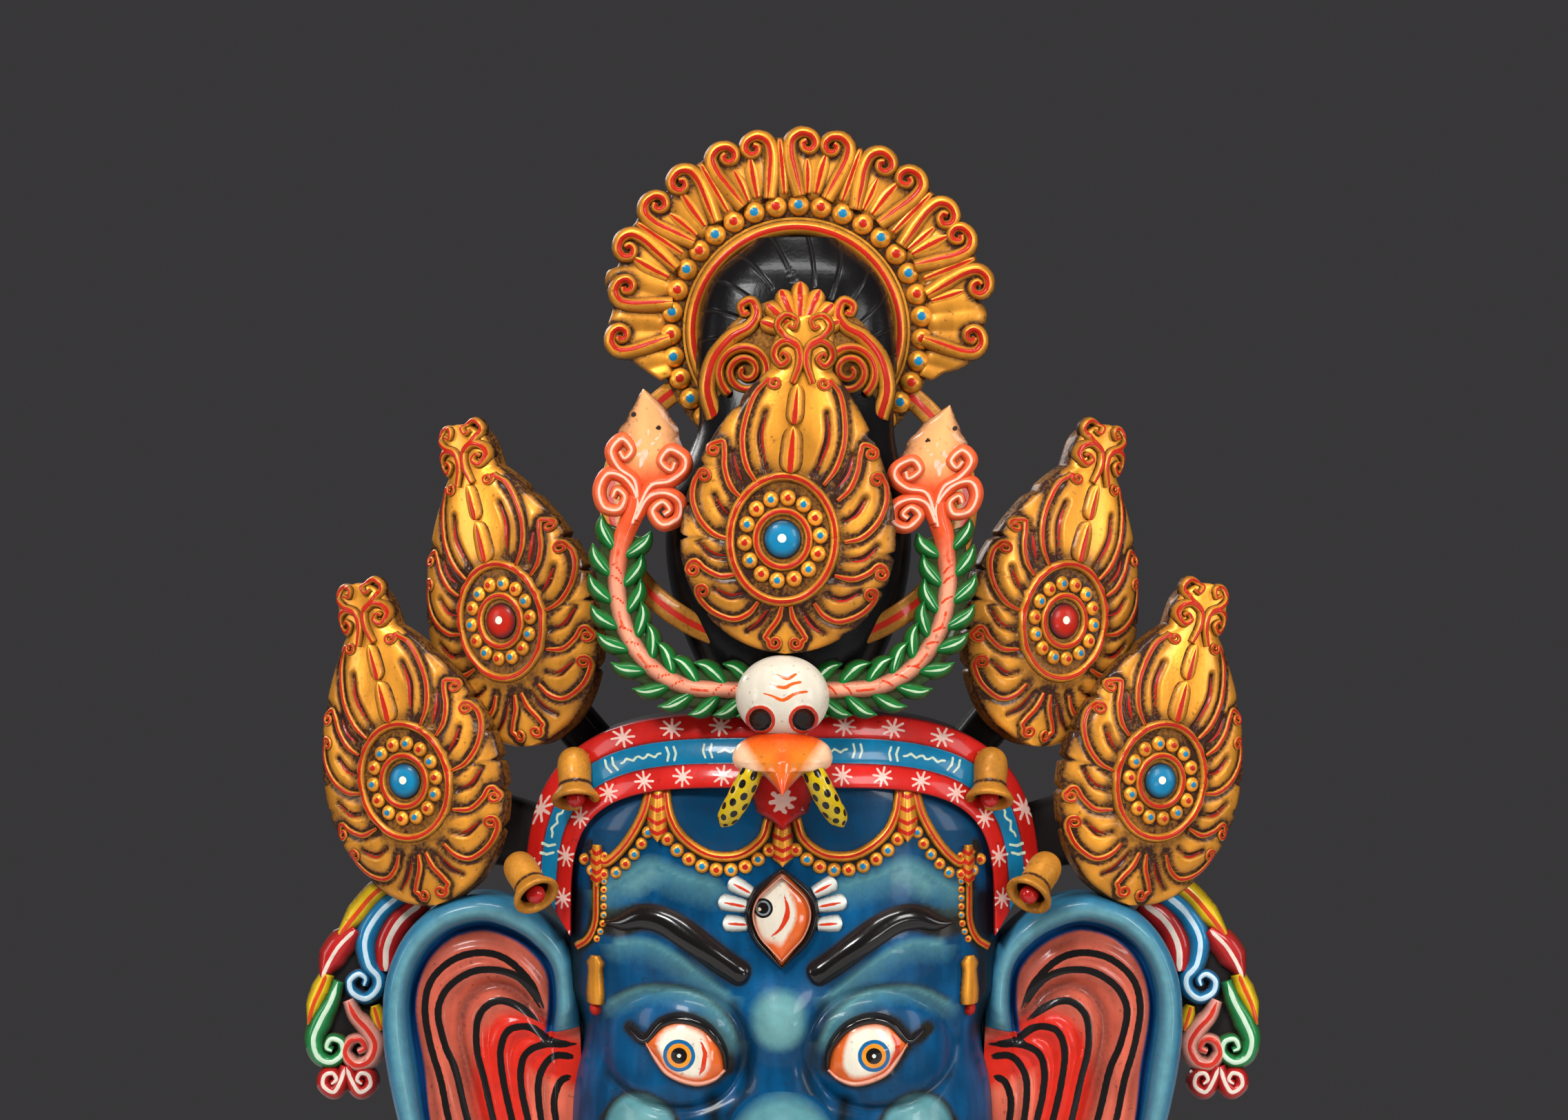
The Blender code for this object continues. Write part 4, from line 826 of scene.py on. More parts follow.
# %% Set the boards in the crown
SIDES = (("_left", -1), ("_right", 1))
MIDDLE_PLACE = (0.0, -0.1365, 0.1397, 1.5, 0, 1.0)
UPPER_PLACE = (0.1800, -0.0470, 0.0842, 14, 28, 0.95)
LOWER_PLACE = (0.2500, -0.0400, -0.0255, 14, 20, 0.95)
PLAQUES = (
    ("middle_plaque", MIDDLE_PLACE, 75.5, 3.6, "blue", (("", 1),)),
    ("upper_plaque", UPPER_PLACE, 92.0, 0.0, "red", SIDES),
    ("lower_plaque", LOWER_PLACE, 92.0, 0.0, "blue", SIDES),
)


def placed(parts, place, side):
    """From a board's millimetres to the mask's metres: scale, lean and turn, then its place on one side.

    A point (u, v, height) becomes (u, -height, v), leans about Y, turns about Z and moves.
    """
    x, y, z, lean, turn, size = place
    lean, turn = np.radians(lean), np.radians(turn)
    tilt = np.array([[np.cos(lean), 0, np.sin(lean)], [0, 1, 0], [-np.sin(lean), 0, np.cos(lean)]])
    swing = np.array([[np.cos(turn), -np.sin(turn), 0], [np.sin(turn), np.cos(turn), 0], [0, 0, 1]])
    moved = []
    for each in parts:
        u, v, height = np.moveaxis(each["rings"], -1, 0)
        points = xyz(u, -height, v) * size * MM @ tilt.T @ swing.T + (x, y, z)
        moved.append({**each, "rings": points * (side, 1, 1)})
    return moved


for name, place, below, offset, jewel, sides in PLAQUES:
    carved = plaque_parts(below, offset, jewel)
    for ending, side in sides:
        node = name + ending
        piece(node + "_carving", placed(carved, place, side), gold_paint, "gold_painted_wood", node)

# %% [markdown]
# ## The halo of leaves
# Behind the topknot stands a gilded disc with its middle cut out. From the hole outwards it has a rolled
# ring, a circle of studs, and a border of leaves whose stems roll over into scrolls that face each other
# in pairs. It is drawn flat about its own centre and then set upright. The plate follows an angle and a
# radius, and its outer edge bulges over every scroll.

# %% Sizes of the halo, in millimetres and degrees
HALO_X, HALO_Z = 0.0096, 0.2848
HALO_PLACE = (HALO_X, -0.024, HALO_Z, 0, 0, 1.0)
HALO_SPAN, DISC_SPAN, RING_SPAN = (-20, 200), (-50, 236), (-54, 238)
HALO_COLUMNS, DISC_COLUMNS = 261, 150
BORDER_INNER, BORDER_THICK, DISC_THICK = 90, 15.0, 12.0
RING_MIDDLE, RING_HALF = 71.6, 5.6
GUTTER_HALF, GUTTER_RISE = 8.4, 0.9
STUD_CIRCLE, STUD, STUD_RISE, STUD_PITCH = 87.2, 7.7, 6.4, 10.3
STUDS = range(-13, 14)
STUD_CENTRE, STUD_DOT = 89.0, 3.0
LEAF_UNITS = (22, 45.5, 70.5, 95, 120, 146)
LONE_STEMS = ((174, -1), (190, -1), (-10.4, 1))
STEM = ((10.4, 92.5), (7.4, 110), (6.0, 123), (8.0, 132.5), (15.0, 136.6), (22.6, 134), (25.0, 128),
        (21.4, 123.4), (16.4, 124.6), (15.4, 129), (18.6, 130.4))
STEM_STEPS, STEM_RISE, STEM_SEAT = 70, 5.6, 14.6
LEAVES = ((0, 95, 133, 5.4), (-20.6, 94, 122, 6.4), (17.2, 94, 118, 5.2))
LEAF_STEPS, LEAF_RISE = 20, 2.6
FLUTE_PITCH = 7.2
stems = [(centre, side) for centre in LEAF_UNITS for side in (-1, 1)] + list(LONE_STEMS)
print(len(stems), "stems and", len(STUDS), "studs on the halo")


# %% Plates of the halo
def turned(points, angle):
    """Points drawn about an upright axis, turned about the halo's centre until the axis is at that angle."""
    points = np.asarray(points, float)
    turn = np.radians(angle - 90)
    return points @ np.array([[np.cos(turn), np.sin(turn)], [-np.sin(turn), np.cos(turn)]])


def arc_plate(span, reach, height, count, across=12, flutes=0.0, lines=()):
    """A curved plate: at each angle of the span its section runs from the inner to the outer reach and back.

    Brown wash and painted shade lie along its edges, in its flutes and beside the lines of the stems that
    are carved on it.
    """
    angle = np.radians(np.linspace(*span, count))[:, None]
    inner, outer = (np.broadcast_to(np.asarray(r, float).reshape(-1, 1), (count, 1)) for r in reach)
    share = np.linspace(0, 1, across)
    radius = np.concatenate([inner + (outer - inner) * share, outer, (inner + outer) / 2, inner], axis=1)
    rise = np.concatenate([height * (1 - 0.35 * np.abs(2 * share - 1) ** 8), [0, 0, 0]])
    flute = np.abs(np.sin(np.degrees(angle) * np.pi / FLUTE_PITCH)) * (np.arange(across + 3) < across)
    u, v = radius * np.cos(angle), radius * np.sin(angle)
    near = strokes(u, v, [line[::3] for line in lines], 4.2) if lines else FAR + 0 * u
    hollow = np.concatenate([0.1 + 0.5 * np.abs(2 * share - 1) ** 4, [0.6, 0.6, 0.6]])
    hollow = np.clip(hollow + 0.2 * (1 - flute) ** 3 + 0.85 * hump(np.clip(near, 0, None), 2.2), 0, 1)
    return part(xyz(u, v, rise + flutes * flute), hollow=hollow)


def outer_edge():
    """The border's outer radius: it bulges over every pair of scrolls and draws in at the two ends."""
    tilt = np.linspace(*HALO_SPAN, HALO_COLUMNS)
    away = np.abs(tilt[:, None] - np.array([*LEAF_UNITS, 173, -3])).min(axis=1)
    edge = np.interp(away, [0, 2, 5, 8, 10.5, 11.8, 12.5], [134.5, 135.4, 138, 139.6, 138, 135, 132])
    return edge * np.interp(np.abs(tilt - 90), [0, 72, 82, 96, 103, 110], [1, 1, 0.955, 0.94, 0.84, 0.76])


def stem_line(centre, side):
    """A stem's line, drawn a little smaller toward the halo's ends."""
    smaller = np.interp(abs(centre - 90), [72, 84], [1, 0.94])
    return through(turned(np.array(STEM) * (-side, 1), centre) * smaller, STEM_STEPS)


print("the border reaches out to", round(outer_edge().max(), 1), "mm")


# %% Ring, studs, stems and leaves of the halo
def halo_parts():
    """Plates, ring, studs, scrolled stems and the strokes between them."""
    lines = [stem_line(centre, side) for centre, side in stems]
    parts = [
        arc_plate(HALO_SPAN, (BORDER_INNER, outer_edge()), BORDER_THICK, HALO_COLUMNS, 30, 1.6, lines),
        arc_plate(DISC_SPAN, (65, 93), DISC_THICK, DISC_COLUMNS),
    ]
    turn = np.radians(np.linspace(*RING_SPAN, DISC_COLUMNS))
    circle = np.stack([np.cos(turn), np.sin(turn)], axis=1)
    raised, leafy = level_seat(DISC_THICK), level_seat(STEM_SEAT)
    parts.append(strap(RING_MIDDLE * circle, RING_HALF, 5.0, raised, 13, 6.0, line=1.7))
    parts.append(strap(STUD_CIRCLE * circle, GUTTER_HALF, GUTTER_RISE, raised, 9, 3.0, hollow=0.95))
    for index in STUDS:
        place = turned([(0, STUD_CIRCLE)], STUD_CENTRE + index * STUD_PITCH)[0]
        dot = {"dot": STUD_DOT, "dot_mark": ("blue", "red")[index % 2]}
        parts.append(dome(place, (STUD, STUD), raised, STUD_RISE, 18, 5, 5.0, **dot))
    width = profile(STEM_STEPS, [0, 0.2, 0.45, 0.75, 1], [5.2, 6.6, 5.2, 4.0, 2.7])
    ink = profile(STEM_STEPS, [0, 0.15, 0.5, 0.8, 1], [0.4, 1.2, 1.5, 1.5, 1.0])
    for (centre, side), line in zip(stems, lines):
        parts.append(strap(line, width, STEM_RISE, leafy, 13, 4.0, line=ink, line_at=-0.25 * side))
    for centre in LEAF_UNITS:
        for x, low, high, wide in LEAVES:
            line = turned([(x * 0.92, low), (x, (low + high) / 2), (x * 1.04, high)], centre)
            width = tapered(LEAF_STEPS, wide, 0.6, 0.35, 0.6)
            line = through(line, LEAF_STEPS)
            parts.append(strap(line, width, LEAF_RISE, leafy, 9, 2.0, line=width * 0.24 - 0.1))
    return parts


piece("halo_carving", placed(halo_parts(), HALO_PLACE, 1), gold_paint, "gold_painted_wood", "halo")

# %% [markdown]
# ## The topknot, its cap and the hoop
# The hair is a tall block, rounded in plan, under glossy black paint with thin gouge lines that fan out
# inside the halo. It is a stack of oval rings whose half width and depth follow a smooth line up the knot.
# Each gouge line is a small dip wherever the angle about the halo's centre passes a multiple of its pitch.
# Only the part with the lines needs rings close together, so every sixth ring is enough below it.

# %% Topknot
black_paint = painted("black lacquer", (0.006, 0.0055, 0.006), [], wash_and_shade_colour=(0.010, 0.008, 0.007),
                      wash_and_shade_amount=0.9, roughness=0.24, coat=0.05)
KNOT = (
    (0.010, 0.046, 0.112), (0.045, 0.058, 0.130), (0.090, 0.076, 0.139), (0.135, 0.0835, 0.142),
    (0.175, 0.0790, 0.136), (0.218, 0.0670, 0.104), (0.270, 0.0690, 0.088), (0.318, 0.0590, 0.079),
    (0.348, 0.0280, 0.062),
)
KNOT_X, KNOT_BACK = 0.004, 0.010
KNOT_RINGS, COARSE_STEP, FINE_BELOW = 480, 6, 0.035
FRONT_COLUMNS, BACK_COLUMNS = 210, 60
STRAND_PITCH, STRAND_BEND = 17.0, 260
STRAND_WIDTH, STRAND_DEPTH = 0.08, 0.0012


def squared(wave, power):
    """A sine or cosine with its size raised to a power below 1, which makes an oval more like a box."""
    return np.sign(wave) * np.abs(wave) ** power


knot = through(KNOT, KNOT_RINGS)
wanted = (knot[:, 0] > HALO_Z - FINE_BELOW) | (np.arange(KNOT_RINGS) % COARSE_STEP == 0)
z, half, deep = (column[:, None] for column in knot[wanted].T)
middle_x = np.interp(z, [0.17, 0.22], [KNOT_X, HALO_X])
front = np.linspace(0, np.pi, FRONT_COLUMNS, endpoint=False)
back = np.linspace(np.pi, 2 * np.pi, BACK_COLUMNS, endpoint=False)
angle = np.concatenate([front, back])
x = middle_x + half * squared(np.cos(angle), 0.72)
y = -KNOT_BACK - (deep - KNOT_BACK) * (0.5 + 0.5 * squared(np.sin(angle), 0.55))
reach = np.hypot(x - HALO_X, z - HALO_Z)
fan = np.degrees(np.arctan2(z - HALO_Z + 0.02, x - HALO_X)) - STRAND_BEND * reach
strand = np.abs((fan / STRAND_PITCH) % 1 - 0.5) * 2
groove = hump(1 - strand, STRAND_WIDTH) * (z > HALO_Z - 0.03) * (reach > 0.030) * (np.sin(angle) > 0)
rings = xyz(x, y + groove * STRAND_DEPTH, z)
# The near-black wash in each gouge line is painted shade
piece("topknot_hair", [part(rings, hollow=groove)], black_paint, "black_painted_wood", "topknot")

# %% Cap of scrolls on the topknot
CAP_PLACE = (0.0100, -0.078, 0.2480, 0, 0, 1.0)
CAP_HALF = (61.0, 57.0)
CAP_EDGE, CAP_DOME = 8.0, 6.0
CAP_BANDS = ((56, -26), (61, -6), (57, 14), (45, 29), (33, 36), (27.5, 45), (31, 54), (38, 51), (36.5, 45),
             (33, 46.5))
CAP_COIL, CAP_COIL_RADIUS, CAP_COIL_TURNS = (35.0, 6.0), 19.0, 2.3
CAP_COIL_START = {-1: 235, 1: -55}
ROLL_STEPS, COIL_STEPS, FAN_STEPS = 80, 110, 24
FAN_ANGLES, FAN_ROOT, FAN_HALF = (-70, -46, -23, 0, 23, 46, 70), (2.0, 30.0), 7.4


def cap_seat(u, v):
    """Height of the cap's shallow dome."""
    return CAP_EDGE + CAP_DOME * np.clip(1 - (u / CAP_HALF[0]) ** 2 - (v / CAP_HALF[1]) ** 2, 0, 1) ** 0.5


def cap_parts():
    """A shallow dome, a band that rolls up from each side, two wide scrolls and a fan of petals on top."""
    turn = once_round(72)
    tilt = np.linspace(0.2, 1.5, 9)
    share = np.concatenate([[1.0, 1.0], np.cos(tilt)])[:, None]
    rise = np.concatenate([[0, CAP_EDGE], CAP_EDGE + CAP_DOME * np.sin(tilt)])[:, None]
    u, v = CAP_HALF[0] * share * np.cos(turn), CAP_HALF[1] * share * np.sin(turn)
    parts = [part(xyz(u, v, rise), hollow=0.8)]
    band_width = profile(ROLL_STEPS, [0, 0.55, 0.8, 1], [6.4, 6.0, 4.2, 2.8])
    coil_width = profile(COIL_STEPS, [0, 0.2, 1], [3.7, 3.9, 2.3])
    for side in (-1, 1):
        band = through(np.array(CAP_BANDS) * (side, 1), ROLL_STEPS)
        parts.append(strap(band, band_width, 5.0, cap_seat, 11, 12, line=band_width * 0.34))
        eye = (side * CAP_COIL[0], CAP_COIL[1])
        turns = side * CAP_COIL_TURNS
        coil = spiral(eye, CAP_COIL_RADIUS, CAP_COIL_START[side], turns, COIL_STEPS, 0.12)
        parts.append(strap(coil, coil_width, 5.6, cap_seat, 11, 6, line=coil_width * 0.34))
    root = np.array(FAN_ROOT)
    swell = FAN_HALF * np.sqrt(np.linspace(0.25, 1.1, FAN_STEPS).clip(0, 1))
    swell = swell * np.sqrt(np.clip(1 - np.linspace(-0.6, 1, FAN_STEPS) ** 6, 0.05, 1))
    for angle in FAN_ANGLES:
        way = np.array([np.sin(np.radians(angle)), np.cos(np.radians(angle))])
        line = through([root, root + way * 20, root + way * (37 - abs(angle) * 0.12)], FAN_STEPS)
        parts.append(strap(line, swell, 6.0, cap_seat, 11, 12, line=swell * 0.30 - 0.2))
    return parts


cap = placed(cap_parts(), CAP_PLACE, 1)
piece("topknot_cap_carving", cap, gold_paint, "gold_painted_wood", "topknot_cap")

# %% Hoop round the topknot
HOOP_CENTRE, HOOP_RADII = (0.004, 0.168), (0.121, 0.100)
HOOP_HALF, HOOP_THICK = 0.008, 0.0035
HOOP_SPAN, HOOP_RINGS, HOOP_SIDES = (128, 412), 160, 20
HOOP_BACK, HOOP_FRONT = 0.0167, 0.123

angle = np.radians(np.linspace(*HOOP_SPAN, HOOP_RINGS))[:, None]
section = once_round(HOOP_SIDES)
front = 0.5 - 0.5 * np.sin(angle)
depth = -HOOP_BACK + (HOOP_BACK - HOOP_FRONT) * np.minimum(1.0, front * 1.12)
across = HOOP_HALF * squared(np.cos(section), 0.5)
rise = HOOP_THICK * squared(np.sin(section), 0.5)
x = HOOP_CENTRE[0] + (HOOP_RADII[0] + across) * np.cos(angle)
z = HOOP_CENTRE[1] + (HOOP_RADII[1] + across) * np.sin(angle)
stripe = np.where(np.sin(section) > 0.4, np.abs(across) / MM - 2.1, FAR)
hoop = part(xyz(x, depth - rise, z), red=stripe, hollow=0.55)
piece("hoop_ribbon", [hoop], gold_paint, "gold_painted_wood", "hoop")

# %% [markdown]
# ## The two leaf sprays
# A pink stem curves up each side of the middle plaque, with small green leaves along both edges, and opens
# into four scrolls and a peach leaf. Each leaf is a strap that swells and thins, crowned across, with one
# pale brush stroke. It leaves the stem at a slant, so its line is worked out from the stem's own direction
# there.

# %% Paints and lines of the sprays
leaf_paint = painted("green leaf paint", (0.004, 0.17, 0.028), [("white", (0.52, 0.66, 0.44), 0.5, 0.3)],
                     coat=0.3)
SCARLET, PINK_LINE = (0.74, 0.085, 0.022), (0.86, 0.52, 0.38)
coral_paint = painted("coral stem paint", (0.84, 0.33, 0.20), [
    ("red", SCARLET, 2.5, 5.0), ("black", (0.66, 0.05, 0.01), 0.5, 0.3)], wash_and_shade_colour=(0.10, 0.03, 0.015), coat=0.25)
peach_paint = painted("peach leaf paint", (0.92, 0.42, 0.16), [
    ("red", SCARLET, 3.0, 10.0), ("white", PINK_LINE, 0.4, 0.3), ("pale", (0.03, 0.015, 0.01), 0.4, 0.4)],
    wash_and_shade_colour=(0.10, 0.03, 0.015), wash_and_shade_amount=1.0, coat=0.25)
SPRAY_PLACE = (0.0, -0.128, 0.0, 0, 0, 1.0)
SPRAY_STEM = ((10, 38.5), (36, 39.5), (65, 42.0), (88.8, 56), (105, 81), (110.5, 112), (107, 138), (99, 158),
              (96.5, 168))
SPRAY_SCROLLS = (
    ((100, 150), (96.7, 166), (104.3, 180), (116, 183.5), (122, 173.4), (119, 161.6), (109, 159.6),
     (104.8, 168), (110.2, 173), (113.4, 167.6)),
    ((96, 160), (98.4, 178.5), (109, 187.5), (114, 198.6), (106.8, 206.7), (100.4, 199.5), (105, 193.6),
     (108.4, 198.3)),
    ((97, 158), (88, 175), (75, 178.5), (65.5, 186), (65.5, 194.4), (74.9, 199.5), (81.0, 191.9),
     (74.5, 185.6), (71.5, 190.8)),
    ((98, 153), (89.5, 167.4), (78.2, 170.6), (68.6, 165), (69.2, 154), (79.8, 149.6), (86.6, 158.3),
     (79.9, 164.6), (75.0, 159.4), (79, 156)),
)
SPRAY_LEAF = ((95, 176), (90, 198), (89.5, 220), (92.8, 240))
STALK_STEPS, BACKED_STEPS, SPRIG_STEPS, BLADE_STEPS, CURL_STEPS = 120, 106, 22, 40, 80
SPRIG_ROWS = ((1, 11, 2, 99), (-1, 9, 8, 97))
TICKS = (12, 18, 34, 40, 46, 58, 64, 76, 84, 88)
DASHES = ((23, 31), (49, 56), (67, 74), (92, 98))
BLADE_RAYS = (-13, -5, 2, 9)
BLADE_EYES = ((99.2, 223), (82.6, 214), 1.9)
print(len(SPRAY_SCROLLS), "scrolls on each spray")


# %% Stem and small leaves of a spray
def small_leaves(stem, ahead, out):
    """The green leaves along both edges of the stem, each with a pale vein."""
    ridge = level_seat(5.0)
    width = tapered(SPRIG_STEPS, 6.2, 0.55, 0.08, 0.45)
    vein = profile(SPRIG_STEPS, [0, 0.2, 0.55, 0.85, 1], [-1, 0.3, 0.9, 0.4, -1])
    parts = in_paint(leaf_paint, strap(stem[:BACKED_STEPS], 13.5, 3.0, ridge, 11, 5.0, hollow=0.9))
    for side, count, first, last in SPRIG_ROWS:
        for station in np.linspace(first, last, count).astype(int):
            p, t, n = stem[station], ahead[station], out[station] * side
            line = [p + 3 * n - 4 * t, p + 10 * n + 2.0 * t, p + 15.5 * n + 9 * t, p + 17.5 * n + 17 * t]
            look = {"line": vein, "mark": "white", "twist": -0.25 * side}
            leaf = strap(through(line, SPRIG_STEPS), width, 5.5, ridge, 11, 4.0, **look)
            parts += in_paint(leaf_paint, leaf)
    return parts


def stalk(stem, out):
    """The stem: it reddens toward its head and has short scarlet ticks and dashes."""
    width = profile(STALK_STEPS, [0, 0.8, 1], [5.6, 6.2, 7.6])
    redder = profile(STALK_STEPS, [0, 0.6, 0.82, 1], [7, 5, -1, -5])[:, None]
    made = strap(stem, width, 6.0, level_seat(7.5), 13, 6.0, red=redder)
    u, v = made["rings"][..., 0], made["rings"][..., 1]
    ticks = [[stem[k] - 3 * out[k], stem[k + 2] - 0.5 * out[k], stem[k + 3] + 3 * out[k]] for k in TICKS]
    dashes = [stem[a:b] + 0.8 * out[a:b] for a, b in DASHES]
    made["marks"]["black"] = np.minimum(strokes(u, v, ticks, 0.8), strokes(u, v, dashes, 0.85))
    return made


# %% Head of a spray
def blade():
    """The peach leaf at the tip: red toward its end, with pale rays and two dark eyes."""
    station = np.linspace(0, 1, BLADE_STEPS)
    swell = profile(BLADE_STEPS, [0, 0.28, 0.55, 0.76, 0.88, 1], [20, 24.5, 20.5, 12.5, 7, 0.4])
    swell = swell * (1 + 0.035 * np.sin(station * 34))
    made = strap(through(SPRAY_LEAF, BLADE_STEPS), swell, 3.0, level_seat(7.0), 25, 7.0)
    u, v = made["rings"][..., 0], made["rings"][..., 1]
    rays = []
    for lean in BLADE_RAYS:
        rays.append(through([(94, 186), (94 + 0.4 * lean, 200), (94 + lean, 214 - abs(lean) * 0.3)], 8))
    (first_u, first_v), (second_u, second_v), eye = BLADE_EYES
    eyes = np.minimum(np.hypot(u - first_u, v - first_v), np.hypot(u - second_u, v - second_v)) - eye
    made["marks"].update(white=strokes(u, v, rays, 0.7), red=np.clip(v - 188, -12, FAR) * 0.5, pale=eyes)
    return made


def scrolls():
    """Four curls round the foot of the leaf, each redder at its start and lined with pink."""
    width = profile(CURL_STEPS, [0, 0.2, 0.7, 1], [4.0, 5.0, 4.6, 2.8])
    fade = profile(CURL_STEPS, [0, 0.3, 1], [-7, -5, -2])[:, None]
    look = {"line": np.clip(width * 0.2, 0, 0.8), "mark": "white", "red": fade}
    return [strap(through(scroll, CURL_STEPS), width, 5.0, level_seat(8.5), 11, 8.5, **look)
            for scroll in SPRAY_SCROLLS]


def spray_parts():
    """Backing, leaves, stem, tip and scrolls of the spray on the right, in millimetres."""
    stem = through(SPRAY_STEM, STALK_STEPS)
    ahead, out = directions(stem)
    parts = [*small_leaves(stem, ahead, out), stalk(stem, out)]
    return parts + in_paint(peach_paint, blade(), *scrolls())


# %% Set the sprays beside the middle plaque
SWAY_FROM, SWAY_OUT, SWAY_DOWN = 130.0, 0.17, 0.10


def swayed(parts):
    """The right spray's head leans out and sits lower: points above the last leaves shift."""
    moved = []
    for each in parts:
        u, v, height = np.moveaxis(each["rings"], -1, 0)
        over = np.clip(v - SWAY_FROM, 0, None)
        moved.append({**each, "rings": xyz(u + SWAY_OUT * over, v - SWAY_DOWN * over, height)})
    return moved


spray = spray_parts()
for ending, side, parts in (("right", 1, swayed(spray)), ("left", -1, spray)):
    node = "leaf_spray_" + ending
    piece(node + "_carving", placed(parts, SPRAY_PLACE, side), coral_paint, "green_painted_wood", node)

# %% [markdown]
# ## The head
# The head is the block that everything is set on. Its face is a raised cushion with round cheeks, bulging
# lids and a bump above the trunk. The height of the wood off the wall is a function of the place on the
# face: a superellipse across, a slope to the chin, and a few soft mounds. The same function seats the
# brows, lids, cords and studs, so nothing floats. Behind, the block is scooped out, as such masks are, to
# make it lighter, and painted dark.

# %% Shape of the face, in millimetres
WALL_PLACE = (0, 0, 0, 0, 0, 1.0)
TEMPLE, FACE_TOP, CHIN = 150.0, -20.0, -395.0
CHEEK, CHEEK_HEIGHT, CHEEK_V = 146.0, 128.0, -268.0
BLEND_FROM, BLEND_OVER = -215, 50
BAND_FOOT, UNDER_BAND = -130.0, (158.0, 122.0)
FACE_DEPTH, EDGE_DEPTH, CHIN_RECESS, CHIN_BELOW = 124.0, 40.0, 50.0, 30
MOUNDS = (
    (0, -182, 26, 26, 12), (0, -246, 34, 40, 10), (96, -264, 34, 36, 14), (-96, -264, 34, 36, 14),
    (30, -214, 12, 26, -8), (-30, -214, 12, 26, -8), (72, -136, 44, 16, 4), (-72, -136, 44, 16, 4),
)
LID_CENTRE, LID_RADII, LID_RISE, LID_CREASE = (66.0, -203.0), (44.0, 38.0), 12.0, 2.4
EYE_SHIFT, BROW_SHIFT = -4.0, -2.5


def face_half(v):
    """Half width: a superellipse round the cheeks, blended into the temples, and an arch under the band."""
    reach = np.clip(np.abs(v - CHEEK_V) / CHEEK_HEIGHT, 0, 1)
    cheek = CHEEK * (1 - reach**2.6) ** (1 / 2.6)
    t = np.clip((v - BLEND_FROM) / BLEND_OVER, 0, 1)
    arch = UNDER_BAND[0] * (1 - np.clip((v - BAND_FOOT) / UNDER_BAND[1], 0, 1) ** 3.6) ** (1 / 3.6)
    return np.minimum(cheek + (TEMPLE - cheek) * t**2 * (3 - 2 * t), arch)


def face_depth(u, v):
    """Depth of wood off the wall: the cushion, its mounds, and lids with a crease round them."""
    across = np.clip(np.abs(u) / np.maximum(face_half(v), 1), 0, 1)
    below = np.clip(CHEEK_V - CHIN_BELOW - v, 0, None) / (CHEEK_HEIGHT - CHIN_BELOW)
    middle = FACE_DEPTH - CHIN_RECESS * below**2
    depth = EDGE_DEPTH + (middle - EDGE_DEPTH) * np.sqrt(1 - across**2.8)
    for centre_u, centre_v, wide, high, rise in MOUNDS:
        depth = depth + rise * np.exp(-(((u - centre_u) / wide) ** 2) - ((v - centre_v) / high) ** 2)
    for side in (-1, 1):
        beside = (side * (u - EYE_SHIFT) - LID_CENTRE[0]) / LID_RADII[0]
        beside = beside / (1.0 + 0.16 * np.clip(beside, 0, 1))
        lid = np.hypot(beside, (v - LID_CENTRE[1]) / LID_RADII[1])
        depth = depth + LID_RISE * np.clip(1 - lid**2.4, 0, 1) ** 0.8 - LID_CREASE * hump(lid - 1.06, 0.09)
    return depth


print("face depth at the bridge", face_depth(np.array(0.0), np.array(-182.0)).round(1), "mm")

# %% Lines of the face
BROW = ((21, -154), (38, -143), (59, -127), (77, -116.5), (92, -114), (107, -118.5), (118, -118.5))
UPPER_LID = ((33.5, -214), (36, -200), (47, -186), (63, -180.5), (77, -184), (89, -196), (100, -188.5))
LOWER_LID = ((34.5, -215), (42, -221), (54.5, -223.5), (72, -217.5), (82, -206), (88, -196.5))
CHEEK_CREASE = ((67, -252), (77, -238), (93, -231.5), (109, -238), (119, -252))
LID_FOLD = ((28, -196), (35, -180), (52, -166), (73, -160), (95, -162), (112, -171))
FIRST_SWAG = ((9, -47), (14, -61), (29, -71.5), (49, -71.5), (67, -60), (76, -45), (79, -26))
SECOND_SWAG = ((89, -27), (94, -45), (104, -63), (115, -75.5), (122, -78.5), (129, -70))
TEMPLE_CORD = ((126, -74), (126.5, -100), (127, -119), (132, -131), (141, -138))
# Lines along which dirt and painted shade lie: under the brows, round the lids, in the cheek crease and the
# lid fold
CREASES = ((((28, -149.5), *BROW[1:]), 7.5), (UPPER_LID, 3.0), (LOWER_LID, 1.5), (CHEEK_CREASE, 0.3),
           (LID_FOLD, 0.3))
SWAGS = ((FIRST_SWAG, 5), (SECOND_SWAG, 5), (TEMPLE_CORD, 3))
print(len(CREASES), "creases on each side hold dirt")

# %% [markdown]
# ### Blue skin
# The face is cobalt blue, darker in the hollows, and the painter dragged a nearly dry brush of pale blue
# over everything that stands out: lids, brow, nose and cheeks. Each highlight is a fat stroke whose edge
# fades over 12 mm and wanders by up to 2.5 mm, and above the swags the blue is left deep.

